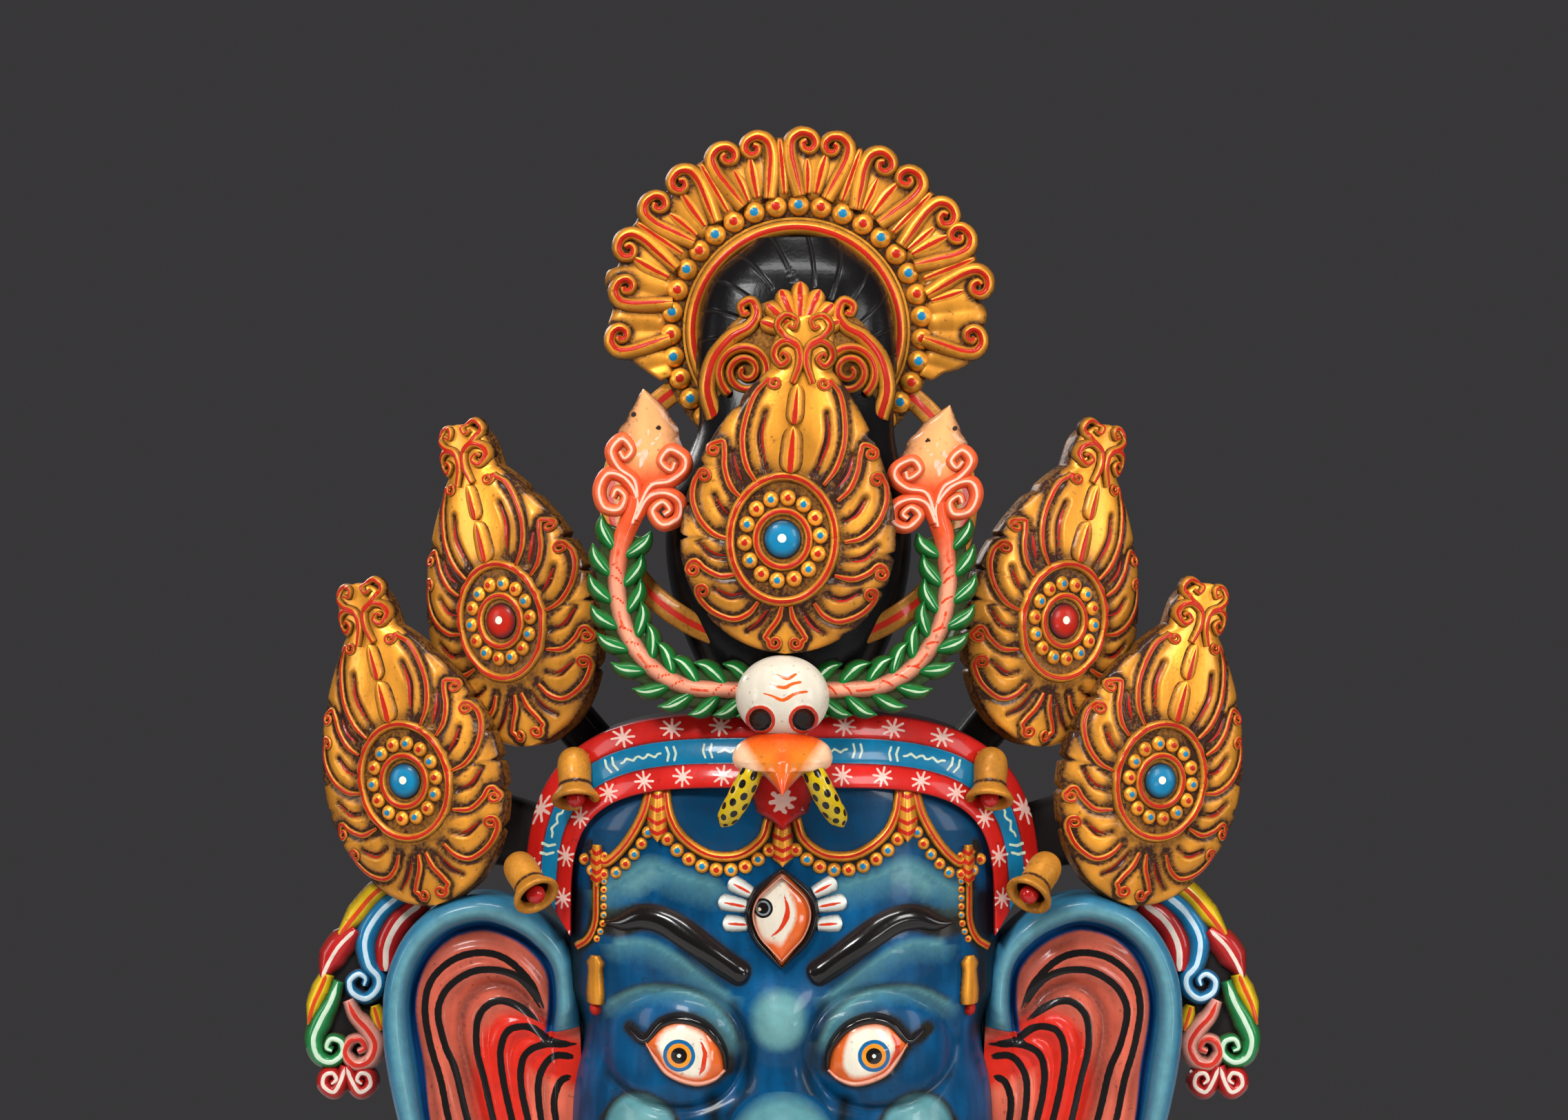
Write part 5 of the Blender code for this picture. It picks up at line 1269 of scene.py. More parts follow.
# %% Paints of the face
DEEP_BLUE, SKY = (0.001, 0.042, 0.105), (0.085, 0.24, 0.26)
skin_paint = painted("blue skin paint", (0.001, 0.070, 0.19), [
    ("blue", DEEP_BLUE, 1.0, 2.0), ("pale", SKY, 2.5, 12.0), ("black", (0.003, 0.010, 0.016), 1.5, 8.0),
    ("white", (0.145, 0.325, 0.33), 2.5, 12.0)],
    wash_and_shade_colour=(0.014, 0.012, 0.008), wash_and_shade_amount=1.0, drift=0.75, roughness=0.32, coat=0.15)
ink_paint = painted("black line paint", INK, [], wash_and_shade_colour=(0.02, 0.012, 0.01), roughness=0.18, coat=0.55,
                    drift=0.1)
lid_paint = painted("pink lid paint", (0.72, 0.30, 0.20), [], coat=0.4)
band_paint = painted("red band paint", (0.56, 0.012, 0.008), [
    ("blue", (0.002, 0.16, 0.31), 0.5, 0.3), ("white", (0.80, 0.50, 0.42), 0.5, 0.25),
    ("pale", (0.56, 0.66, 0.50), 0.5, 0.25), ("black", (0.02, 0.018, 0.02), 2.0, 2.0)],
    wash_and_shade_colour=(0.03, 0.006, 0.008), wash_and_shade_amount=1.0, coat=0.25)
wood_paint = painted("dark backing paint", (0.016, 0.013, 0.014), [], wash_and_shade_colour=(0.01, 0.006, 0.005), coat=0.05,
                     roughness=0.6)
petal_paint = painted("white petal paint", (0.72, 0.74, 0.68), [("red", (0.62, 0.045, 0.015), 0.5, 0.3)],
                      wash_and_shade_colour=(0.02, 0.03, 0.05), coat=0.3)
ivory_paint = painted("tusk paint", (0.74, 0.68, 0.52), [("red", (0.45, 0.16, 0.07), 2.0, 5.0)], coat=0.4)

# %% Paints of the eyes
EYE_WHITE = (0.80, 0.74, 0.60)
EYE_LAYERS = [("red", (0.72, 0.13, 0.02), 2.0, 5.0), ("green", (0.62, 0.04, 0.012), 0.4, 0.3)]
EYE_FINISH = {"roughness": 0.22, "coat": 0.7, "wash_and_shade_amount": 0.5}
eye_paint = painted("eye paint", EYE_WHITE, [
    *EYE_LAYERS, ("blue", (0.006, 0.12, 0.30), 0.5, 0.4), ("pale", (0.80, 0.27, 0.02), 0.4, 0.3),
    ("black", INK, 0.3, 0.3), ("white", (0.75, 0.74, 0.66), 0.2, 0.2)], **EYE_FINISH)
third_eye_paint = painted("third eye paint", EYE_WHITE, [
    *EYE_LAYERS, ("blue", INK, 0.4, 0.3), ("pale", (0.22, 0.26, 0.28), 0.3, 0.3), ("black", INK, 0.3, 0.3),
    ("white", (0.75, 0.62, 0.40), 0.2, 0.2)], **EYE_FINISH)
print(eye_paint.name, "and", third_eye_paint.name, "share", len(EYE_LAYERS), "layers")

# %% Highlights and shadows of the face
SKY_STROKES = (
    (((30, -196), (38, -181), (53, -168), (73, -163), (95, -165), (114, -175)), 2.5, 0.45, 1.5),
    (((36, -166), (62, -146), (86, -133), (108, -133)), 3.0, 0.5, 2.0),
    (((118, -98), (102, -88), (86, -79), (68, -86), (44, -93)), 4.0, 0.8, 2.4),
    (((93, -256), (95, -266)), 23.0, 0.4, 1.2), (((1, -178), (1, -184)), 16.0, 0.7, 0.7),
    (((40, -300), (60, -330), (40, -360)), 8.0),
)
FAINT_STROKES = (
    (((1, -178), (1, -186)), 10.0), (((86, -84), (98, -92)), 1.0, 0.8, 2.0), (((93, -256), (95, -262)), 11.0),
)
DARK_STROKES = (
    (((36, -160), (50, -150), (66, -135)), 0.0), (((30, -172), (24, -190), (26, -214)), 2.0),
    (((24, -196), (20, -226), (34, -246)), 3.0), (((60, -240), (90, -236), (116, -222)), 1.0),
    (((44, -236), (42, -270), (50, -300)), 5.0), (((139, -104), (140, -150), (139, -194)), 7.0),
)


def soft_strokes(u, v, lines, middle=0.0):
    """Nearest of several fat strokes, drawn on both sides of the face's middle line.

    Each is a (line, half width) and may say how many times softer its edge is above and below the line.
    """
    away = []
    for line, width, *softer in lines:
        path = through(line, 14)
        sorted_path = path[np.argsort(path[:, 0])]
        level = np.interp(np.abs(u - middle), sorted_path[:, 0], sorted_path[:, 1])
        above, below = softer or (1.0, 1.0)
        away.append(stroke(np.abs(u - middle), v, path, width) / np.where(v > level, above, below))
    return np.min(away, axis=0)


def and_behind(mark, count, value=FAR):
    """A mark on a carved front, followed in every row by one value for so many points behind it."""
    return np.concatenate([mark, np.full((len(mark), count), float(value))], axis=1)


print(len(SKY_STROKES) + len(FAINT_STROKES), "highlights and", len(DARK_STROKES), "shadows")

# %% The block of the face, scooped behind
HOLLOW_HALF, HOLLOW_V, HOLLOW_DEPTH = (88.0, 125.0), -215.0, 70.0
SCOOP = ((0, 0.5, 0.82, 0.97, 1.0), (HOLLOW_DEPTH, HOLLOW_DEPTH, 52.5, 21, 0))
SIDE_WALL = np.array([0.75, 0.35, 0.08]) * EDGE_DEPTH
CHIN_ROWS, FACE_ROWS, FACE_COLUMNS, SCOOP_COLUMNS = 9, 205, 190, 56
BARE_ABOVE, BACK_DIRT = 3, 0.7

chin = CHIN + 9 * np.sin(np.linspace(0.2, np.pi / 2, CHIN_ROWS))
rows = np.concatenate([[CHIN], chin, np.linspace(CHIN + 10.5, FACE_TOP, FACE_ROWS)])[:, None]
half = np.maximum(face_half(rows), 4)
spread = np.pi / 2 * 0.94
share = np.sin(np.linspace(-1, 1, FACE_COLUMNS) * spread) / np.sin(spread)
u = half * share
v = rows + 0 * u
back_u = half * np.concatenate([[1, 1, 1], np.linspace(1, -1, SCOOP_COLUMNS), [-1, -1, -1]])
back_v = rows + 0 * back_u
from_middle = np.abs(back_u / HOLLOW_HALF[0]) ** 2.5 + np.abs((back_v - HOLLOW_V) / HOLLOW_HALF[1]) ** 2.5
within = from_middle**0.4
scoop = np.interp(within, *SCOOP)
scoop[:, :3], scoop[:, -3:] = SIDE_WALL, SIDE_WALL[::-1]
rings = np.concatenate([xyz(u, v, face_depth(u, v)), xyz(back_u, back_v, scoop)], axis=1)
print("the scoop is", scoop.max(), "mm deep")

# %% Paint on the block of the face
# Dirt and painted shade along the creases and cords and at the face's sides
near = np.minimum(soft_strokes(u, v, CREASES, BROW_SHIFT), soft_strokes(u, v, SWAGS))
face_shade_and_dirt = np.clip(hump(np.clip(near, 0, None), 2.4) + np.abs(share) ** 30 * 0.4, 0, 1)
swag_line = through([*FIRST_SWAG, *SECOND_SWAG], 60)
swag_line = swag_line[np.argsort(swag_line[:, 0])]
above_swag = np.interp(np.abs(u), swag_line[:, 0], swag_line[:, 1], right=-40) - v
dark_front = soft_strokes(u, v, DARK_STROKES, BROW_SHIFT)
dark_back = np.where((within > 1) & (scoop > BARE_ABOVE), FAR, -FAR)
behind = back_u.shape[1]
face = part(
    rings, hollow=and_behind(face_shade_and_dirt, behind, BACK_DIRT), blue=and_behind(above_swag, behind),
    pale=and_behind(soft_strokes(u, v, SKY_STROKES, BROW_SHIFT), behind),
    white=and_behind(soft_strokes(u, v, FAINT_STROKES, BROW_SHIFT), behind),
    black=np.concatenate([dark_front, dark_back], axis=1),
)
print("the face has", rings.shape[0] * rings.shape[1], "points")

# %% [markdown]
# ### Trunk, tusks and shoulders
# The trunk and the tusks are round limbs: a line in space with a radius at each point. Folds cross the
# trunk at an even pitch, sharp at their crests, and start a little way down from its root. The shoulders
# are short blocks behind the side plaques, which are seated on them.

# %% Round limbs
FOLD_PITCH, SMOOTH_ROOT, SMOOTH_FADE, FOLD_DEPTH = 9.0, 48, 20, 0.05
LIMB_STEPS = 130
TRUNK = (
    (0, -234, 90, 8), (0, -242, 100, 25), (0, -252, 111, 36), (0, -270, 127, 41), (0, -298, 149, 38),
    (0, -338, 160, 32), (-6, -374, 162, 29), (-27, -400, 162, 26), (-58, -405, 160, 23),
    (-81, -386, 157, 20.5), (-82, -358, 155, 18), (-64, -349, 155, 15),
)
TUSK = ((50, -303, 98, 12.5), (66, -325, 132, 11), (82, -345, 160, 7.5), (92, -360, 177, 1.0))


def fold_crests(travel, shift=0.0):
    """|sin(pi * travel / pitch + shift)|^6: 1 on a crest, near 0 between crests, and none at the root."""
    fade = np.clip((travel - SMOOTH_ROOT) / SMOOTH_FADE, 0, 1)
    return np.abs(np.sin(np.pi * travel / FOLD_PITCH + shift)) ** 6 * fade


def tube(line, around, wrinkle=0.0, squash=0.9):
    """A round limb along a line of (u, v, height, radius), with fine folds across it.

    It also gives how far along each point is, and how far it faces up from the wall, from -1 to 1.
    """
    line = through(line, LIMB_STEPS)
    ahead = np.gradient(line[:, :3], axis=0)
    ahead /= np.linalg.norm(ahead, axis=1, keepdims=True)
    across = np.cross(ahead, (0, 0, 1))
    across /= np.linalg.norm(across, axis=1, keepdims=True)
    up = np.cross(across, ahead)
    travel = travelled(line[:, :3])[:, None]
    angle = once_round(around)
    radius = line[:, 3:] * (1 - wrinkle * fold_crests(travel, 0.5 * np.cos(angle)))
    sideways = across[:, None] * (radius * np.cos(angle))[..., None]
    upward = up[:, None] * (squash * radius * np.sin(angle))[..., None]
    return line[:, None, :3] + sideways + upward, travel + 0 * angle, np.sin(angle) + 0 * travel


rings, travel, upward = tube(TRUNK, 56, FOLD_DEPTH)
crests = fold_crests(travel)
highlight = 17 - 26 * np.clip(upward, 0, 1) + 4 * crests + np.clip(44 - travel, 0, 44) * 0.7
trunk = part(rings, hollow=0.8 * crests + 0.15, pale=highlight)
tusks = []
for side in (-1, 1):
    rings, travel, upward = tube(np.array(TUSK) * (side, 1, 1, 1), 28, squash=1.0)
    tusk = part(rings, hollow=np.clip(1 - travel / 25, 0, 1), red=travel - 22)
    tusks += in_paint(ivory_paint, tusk)
print("the lowest point of the trunk is", round(trunk["rings"][..., 1].min()), "mm from the hanging place")

# %% Shoulders behind the plaques
SHOULDERS = (((116, -20, 30), 24, (163, 37, 44), 24), ((157, -70, 26), 22, (220, -55, 36), 28))
SHOULDER_THICK, SHOULDER_THINNER, SHOULDER_SINK, OFF_WALL = 26, 14, 4, 2

arms = []
t = np.linspace(0, 1, 14)[:, None]
angle = once_round(28)
for root, root_half, end, end_half in SHOULDERS:
    oval_v = (root_half + (end_half - root_half) * t) * squared(np.sin(angle), 0.6)
    oval_h = (SHOULDER_THICK - SHOULDER_THINNER * t) * squared(np.cos(angle), 0.6)
    spine = np.array(root) + (np.array(end) - root) * t
    height = np.maximum(spine[:, 2:] + oval_h - SHOULDER_SINK, OFF_WALL)
    rings = xyz(spine[:, :1], spine[:, 1:2] + oval_v, height)
    for side in (-1, 1):
        arms += in_paint(wood_paint, part(rings * (side, 1, 1), hollow=0.5))
print(len(arms), "shoulders")

# %% [markdown]
# ### Headband
# A painted leather-like band arches over the brow, in three stripes with stars and little waves. It is the
# same on both sides, so it is drawn flat, as if the band were unrolled: how far along the arch, and how
# far across from the inner edge. The stroke helper then works in those two lengths. The two ends are cut
# on a slant: the outer edge is shorter than the inner one, and the paint's lengths slip back by as much.

# %% Shape of the headband
BAND_STEPS, BAND_ACROSS, BAND_SLANT = 480, 60, 0.905
BAND_EDGES = (((144.5, 104.0, 4.0), (137.0, 85.0)), ((178.0, 153.0, 3.35), (120.0, 50.0)))
STRIPE_PUFF, BAND_SINK = 1.8, 1.0


def band_edge(turn, edge):
    """A point of one edge of the arch, a superellipse, with the depth falling from its middle to its ends."""
    (half_width, height, power), (centre, end) = edge
    u = half_width * squared(np.cos(turn), 2 / power)
    v = BAND_FOOT + height * np.sin(turn) ** (2 / power)
    return xyz(u, v, centre + (end - centre) * (u / half_width) ** 2)


turn = np.linspace(0, np.pi, 1200)
length = travelled(band_edge(turn, BAND_EDGES[0]))
turn = np.interp(np.linspace(0, length[-1], BAND_STEPS), length, turn)
inner, square_end = band_edge(turn, BAND_EDGES[0]), band_edge(turn, BAND_EDGES[1])
outer = band_edge(np.pi / 2 + (turn - np.pi / 2) * BAND_SLANT, BAND_EDGES[1])
slip = np.linalg.norm((square_end - outer)[:, :2], axis=1) * np.sign(np.pi / 2 - turn)
share = np.linspace(0, 1, BAND_ACROSS)
front = inner[:, None] + (outer - inner)[:, None] * share[:, None]
front[..., 2] += STRIPE_PUFF * np.abs(np.sin(3 * np.pi * share)) ** 0.45 - BAND_SINK
walls = [outer * (1, 1, 0.5), outer * (1, 1, 0.02), inner * (1, 1, 0.02), inner * (1, 1, 0.5)]
along = np.linspace(-0.5, 0.5, BAND_STEPS)[:, None] * length[-1] + slip[:, None] * share
broad = np.linalg.norm((square_end - inner)[:, :2], axis=1)[:, None]
cross = broad * share
print("the band is", round(length[-1]), "mm long inside and", round(broad.max()), "mm broad")

# %% Stars and waves on the headband
STAR_ARM, STAR_LEANS, STAR_PLACES = 6.4, np.radians((8, 53, 98, 143)), np.arange(-9.5, 10)
STAR_ROWS = ((1 / 6, 27.0), (5 / 6, 28.5))
WAVE_PLACES = np.arange(-3, 4) * 62.0 + 31
WAVE_HALF, WAVE_RISE, BRACKETS = 13, 1.3, (18, 22.5)
LINE_HALF = 0.7


def breadth_at(middle):
    """How broad the band is at a length along it."""
    return float(np.interp(middle, along[:, 0], broad[:, 0]))


def star(middle, lift, long, leans):
    """Short lines that cross in one point, one at each lean."""
    rays = [long * np.array([np.cos(lean), np.sin(lean)]) for lean in leans]
    return [np.array([(middle, lift) - ray, (middle, lift) + ray]) for ray in rays]


def wave(middle, lift):
    """A wavy line with two brackets at each end."""
    reach = np.linspace(-WAVE_HALF, WAVE_HALF, 14)
    lines = [np.stack([middle + reach, lift + WAVE_RISE * np.sin(reach * 0.9)], axis=1)]
    for side in (-1, 1):
        for step in BRACKETS:
            lines.append([(middle + side * (step - 1.5), lift - 4.5), (middle + side * step, lift),
                          (middle + side * (step - 1), lift + 4.5)])
    return lines


star_lines, wave_lines = [], []
for lane, spacing in STAR_ROWS:
    for middle in STAR_PLACES * spacing:
        star_lines += star(middle, breadth_at(middle) * lane, STAR_ARM, STAR_LEANS)
for middle in WAVE_PLACES:
    wave_lines += wave(middle, breadth_at(middle) / 2)
stars = strokes(along, cross, star_lines, LINE_HALF)
waves = strokes(along, cross, wave_lines, LINE_HALF)
stripe = broad / 3
# Painted shade and wash in the seams between the stripes and at the band's two edges
seam = np.minimum(np.abs(cross - stripe), np.abs(cross - 2 * stripe))
seam_shade_and_wash = hump(seam, 1.3) * 0.8 + 0.6 * np.abs(2 * share - 1) ** 30
band = part(
    np.concatenate([front, np.stack(walls, axis=1)], axis=1), hollow=and_behind(seam_shade_and_wash, 4, 0.9),
    blue=and_behind(np.abs(cross - broad / 2) - stripe / 2, 4), white=and_behind(stars, 4),
    pale=and_behind(waves, 4), black=and_behind(0 * cross + FAR, 4, -FAR),
)
print(len(star_lines) // len(STAR_LEANS), "stars and", len(WAVE_PLACES), "waves")

# %% Panel under the skull
PANEL_HALF = ((-52, -47, -42, -30, -18), (1, 9, 17, 20.5, 21))
PANEL_SEAT, PANEL_RISE = 137.5, 3.0
PANEL_STAR, PANEL_ARM, PANEL_LEANS = -34, 8, np.radians((10, 55, 100, 145))

drop = np.linspace(-18, -52, 40)
width = np.interp(drop, *PANEL_HALF)
panel = strap(np.stack([0 * drop, drop], axis=1), width, PANEL_RISE, level_seat(PANEL_SEAT), 21, 6)
rays = star(0, PANEL_STAR, PANEL_ARM, PANEL_LEANS)
panel["marks"]["white"] = strokes(panel["rings"][..., 0], panel["rings"][..., 1], rays, 1.5)
print("the panel is", 2 * width.max(), "mm wide")

# %% [markdown]
# ### Eyes, brows and the third eye
# An eyeball is the outline between its lids, drawn in ring by ring towards its middle while it rises. Its
# iris, pupil and light are circles of paint, and a red vein runs beside them. Lids and brows are black
# straps, with a pink strap inside the lower lid. The upright third eye has a black rim, a pink line and
# three petals a side.

# %% Eyes, brows and lids
EYE_STEPS, LID_STEPS, BROW_STEPS = 72, 50, 70
EYE_CENTRE, EYE_RISE = (62, -203), 4.5
IRIS_CENTRE, IRIS, IRIS_RING, PUPIL, LIGHT = (65, -204.5), 10.8, 8.2, 5.4, 1.4
VEINS = {-1: ((51, -193), (47.5, -203), (49, -213), (52, -218)),
         1: ((76.5, -190), (81.0, -196), (80.5, -204), (75, -212))}
VEIN_WIDTH = (0.3, 1.5, 1.6, 0.3)


def on_side(line, side, shift):
    """A line drawn for the right of the face, set on one side and shifted."""
    return np.array(line) * (side, 1) + (shift, 0)


def eyeball(outline, centre, rise):
    """A bulging skin inside an outline: each ring is the outline drawn in towards the centre.

    The red mark runs from the corners of the eye inwards.
    """
    outline = through(outline, EYE_STEPS)[:-1]
    tilt = np.linspace(0.15, 1.5, 20)
    share = np.concatenate([[1.0, 1.0], np.cos(tilt)])[:, None]
    lift = np.concatenate([[-5.0, 0.0], rise * np.sin(tilt)])[:, None]
    u = centre[0] + share * (outline[:, 0] - centre[0])
    v = centre[1] + share * (outline[:, 1] - centre[1])
    base = face_depth(np.array(float(centre[0])), np.array(float(centre[1])))
    level = face_depth(u, v) * share + base * (1 - share)
    red = (0.78 - share) * 24 + 0 * u
    return part(xyz(u, v, level + lift), hollow=np.clip(share * 6 - 5.2, 0, 1), red=red), u, v


def eye_parts(side):
    """Eyeball, lids and brow of one side."""
    outline = on_side([*UPPER_LID[1:-1], *LOWER_LID[-2::-1], UPPER_LID[1]], side, EYE_SHIFT)
    ball, u, v = eyeball(outline, (side * EYE_CENTRE[0] + EYE_SHIFT, EYE_CENTRE[1]), EYE_RISE)
    reach = np.hypot(u - (side * IRIS_CENTRE[0] + EYE_SHIFT), v - IRIS_CENTRE[1])
    corner = np.clip(0.9 * np.abs(side * (u - EYE_SHIFT) - EYE_CENTRE[0]) - 12, 0, 10)
    ball["marks"].update(
        blue=reach - IRIS, pale=reach - IRIS_RING, black=reach - PUPIL, white=reach - LIGHT,
        green=stroke(u, v, on_side(VEINS[side], side, EYE_SHIFT), VEIN_WIDTH),
        red=ball["marks"]["red"] - corner)
    upper = through(on_side(UPPER_LID, side, EYE_SHIFT), LID_STEPS)
    upper_width = profile(LID_STEPS, [0, 0.2, 0.5, 0.75, 0.9, 1], [1.4, 3.3, 4.2, 3.8, 3.0, 0.6])
    lower = through(on_side(LOWER_LID, side, EYE_SHIFT), LID_STEPS)
    lower_width = profile(LID_STEPS, [0, 0.3, 0.8, 1], [1.4, 2.3, 1.9, 0.6])
    brow = through(on_side(BROW, side, BROW_SHIFT), BROW_STEPS)
    thick = profile(BROW_STEPS, [0, 0.015, 0.04, 0.2, 0.5, 0.75, 0.9, 1],
                    [4.6, 7.2, 8.6, 9.2, 9.6, 8.6, 5.6, 1.0])
    crown = profile(BROW_STEPS, [0, 0.02, 0.07, 1], [2.0, 4.6, 6.0, 6.0])
    return [
        *in_paint(eye_paint, ball), *in_paint(ink_paint, strap(upper, upper_width, 5.5, face_depth, 11, 4)),
        *in_paint(lid_paint, strap(lower, lower_width, 4.6, face_depth, 9, 4)),
        *in_paint(ink_paint, strap(brow, thick, crown, face_depth, 13, 3)),
    ]


eyes = [*eye_parts(-1), *eye_parts(1)]
print("each iris is", 2 * IRIS, "mm wide")

# %% Third eye
RIM = ((-0.5, -81), (-10, -89), (-19.5, -99), (-23, -112), (-18, -127), (-8.5, -138), (-0.5, -146.5))
OTHER_RIM = tuple((-u - 1, v) for u, v in RIM)
THIRD_CENTRE, THIRD_RISE, THIRD_NARROWER = (-0.5, -113), 7.5, 0.93
THIRD_IRIS, THIRD_LIGHT = (-13.0, -106.6), (-15.4, -107.4)
THIRD_VEIN = ((1, -97), (3.4, -109), (-1.2, -120), (-9, -126.5))
PINK_SCALE, PINK_MOVE = (0.85, 0.86), (-0.1, -15.9)
SIDE_PETALS = (((21, -97), (36, -89)), ((24, -106), (43, -102.5)), ((23.5, -118), (40, -117)))
SIDE_PETAL_STEPS = 24

outline = np.array([*RIM, *OTHER_RIM[-2::-1]]) * (THIRD_NARROWER, 1)
ball, u, v = eyeball(outline, THIRD_CENTRE, THIRD_RISE)
reach = np.hypot(u - THIRD_IRIS[0], v - THIRD_IRIS[1])
light = np.hypot(u - THIRD_LIGHT[0], v - THIRD_LIGHT[1]) - 1.3
vein = stroke(u, v, through(THIRD_VEIN, 12), profile(12, [0, 0.45, 1], [0.3, 2.0, 0.3]))
corner = np.clip((u + 3) * 0.6 - (v + 108) * 0.2, -2, 12)
ball["marks"].update(blue=reach - 6.6, pale=reach - 5.0, black=reach - 3.8, white=light, green=vein,
                     red=ball["marks"]["red"] - corner)
eyes += in_paint(third_eye_paint, ball)
rim_width = profile(LID_STEPS, [0, 0.2, 0.5, 0.8, 1], [1.2, 2.6, 3.0, 2.7, 1.2])
for half_rim in (RIM, OTHER_RIM):
    line = through(half_rim, LID_STEPS)
    eyes += in_paint(ink_paint, strap(line, rim_width, 6.5, face_depth, 11, 3))
    eyes += in_paint(lid_paint, strap(line * PINK_SCALE + PINK_MOVE, 0.9, 8.6, face_depth, 7, 3))
wide = 6.0 * profile(SIDE_PETAL_STEPS, [0, 0.5, 0.85, 0.97, 1], [0.75, 0.95, 0.98, 0.6, 0.3])
red = profile(SIDE_PETAL_STEPS, [0, 0.15, 0.5, 0.8, 0.85, 1], [0, 0.9, 1.0, 0.3, -2, -2])
for side in (-1, 1):
    for root, tip in SIDE_PETALS:
        line = on_side([root, (np.array(root) + tip) / 2, tip], side, 0)
        petal = strap(through(line, SIDE_PETAL_STEPS), wide, 3.6, face_depth, 11, 3, line=red)
        eyes += in_paint(petal_paint, petal)
print(len(eyes), "parts of eyes and brows")

# %% [markdown]
# ### Cords, studs and pendants
# Gold cords hang in two swags on each side of the brow and down the temples, with a row of studs beside
# each. A pendant hangs in the middle and at the ends of the swags, and a tassel ends the temple cord.

# %% Gold cords, studs and pendants over the brow
SWAG_STUDS = ((FIRST_SWAG, FIRST_SWAG[1:-1], 4.9), (SECOND_SWAG, SECOND_SWAG[1:], 4.3))
TASSEL_U, TASSEL_V = 127, (-142, -158, -175)
KNOB_V, KNOB = -178.5, (4.2, 5.0)
PENDANTS = ((0, -46, 33, 8.0), (84, -25, 38, 7.6), (126, -67, 28, 5.4))
PENDANT_STEPS, PENDANT_ROWS = 40, (0.22, 0.45, 0.68, 0.86)


def stud_row(line, offset, radius, spacing):
    """Studs at even steps along a line set off to one side of a cord, red and blue by turns."""
    line = through(line, 90)
    beside = line + offset * directions(line)[1]
    count = int(np.linalg.norm(np.diff(beside, axis=0), axis=1).sum() / spacing) + 1
    studs = []
    for index, place in enumerate(through(beside[::6], count)):
        dot = {"dot": radius * 0.42, "dot_mark": ("red", "blue")[index % 2]}
        studs.append(dome(place, (radius, radius), face_depth, radius * 0.9, 14, 4, 3.0, **dot))
    return studs


def pendant(middle, top, long, wide):
    """A drop that widens and closes again, with red lines across it that sag in the middle."""
    line = through([(middle, top), (middle, top - long / 2), (middle, top - long)], PENDANT_STEPS)
    width = wide * profile(PENDANT_STEPS, [0, 0.3, 0.6, 0.85, 1], [0.62, 0.85, 1, 0.9, 0.1])
    drop = strap(line, width, 7.0, face_depth, 15, 4)
    levels = [top - step * long for step in PENDANT_ROWS]
    rows = [[(-wide, level + 3.5), (0, level), (wide, level + 3.5)] for level in levels]
    drop["marks"]["red"] = strokes(drop["rings"][..., 0] - middle, drop["rings"][..., 1], rows, 1.35)
    return drop


jewels = []
for side in (-1, 1):
    for line, row, size in SWAG_STUDS:
        cord = through(on_side(line, side, 0), 70)
        jewels.append(strap(cord, 3.7, 4.6, face_depth, 11, 3, line=0.95))
        jewels += stud_row(on_side(row, side, 0), side * 8.8, size, size * 2.02)
    cord = through(on_side(TEMPLE_CORD, side, 0), 60)
    jewels.append(strap(cord, 2.8, 4.0, face_depth, 9, 3, line=0.9))
    jewels += stud_row(on_side(TEMPLE_CORD[:4], side, 0), side * 5.6, 2.7, 5.8)
    tassel = through([(side * TASSEL_U, v) for v in TASSEL_V], 30)
    width = profile(30, [0, 0.15, 0.3, 0.8, 1], [3.5, 6.8, 5.6, 7.0, 6.6])
    jewels.append(strap(tassel, width, 9, face_depth, 13, 4))
    jewels.append(dome((side * TASSEL_U, KNOB_V), KNOB, face_depth, 7.5, 14, 5, 3.0, 9.0))
for middle, top, long, wide in PENDANTS:
    for side in (-1, 1) if middle else (1,):
        jewels.append(pendant(side * middle, top, long, wide))

head_parts = [face, trunk, *arms, *tusks, *eyes]
piece("head_carving", placed(head_parts, WALL_PLACE, 1), skin_paint, "blue_painted_wood", "head")
piece("headband_carving", placed([band, panel], WALL_PLACE, 1), band_paint, "red_painted_wood")
piece("head_jewels", placed(jewels, WALL_PLACE, 1), gold_paint, "gold_painted_wood")

# %% [markdown]
# ## The skull, its beak and the two snakes
# Over the brow sits a bird's skull, turned from a ball, with glossy black sockets and an orange beak that
# ends in a point. Two spotted snakes hang out of its nostrils. The ball is a dome of rings, and its paint
# is drawn in the same plane as its sockets. The spots sit on a grid that runs round and along each snake.

# %% Skull
skull_paint = painted("bone paint", (0.66, 0.60, 0.49), [
    ("red", (0.66, 0.10, 0.01), 0.5, 0.3), ("green", (0.55, 0.03, 0.01), 0.5, 0.3), ("black", INK, 0.3, 0.3)],
    wash_and_shade_colour=(0.10, 0.06, 0.03), wash_and_shade_amount=0.7, drift=0.25, roughness=0.26, coat=0.2)
SKULL_V, SKULL_SEAT, SKULL_RADIUS, SKULL_LOWER = 35.1, 152.0, 31.1, 0.9
SOCKETS, SOCKET, SOCKET_DEPTH = ((-14.6, 21.0), (13.9, 21.2)), 7.6, 5.0
SOCKET_RIM, RIM_RISE, RED_RIM = 8.4, 0.9, 8.7
WRINKLES = (
    ((-4.2, 51.1), (3.3, 48.4), (8.9, 51.4)), ((-8.2, 44.8), (-3, 43.2), (2, 42.6), (6, 44.8), (11.9, 46.1)),
    ((-12.5, 38.8), (-6.7, 37.1), (0.3, 34.4), (8.4, 38.6), (16.2, 39.8)),
)

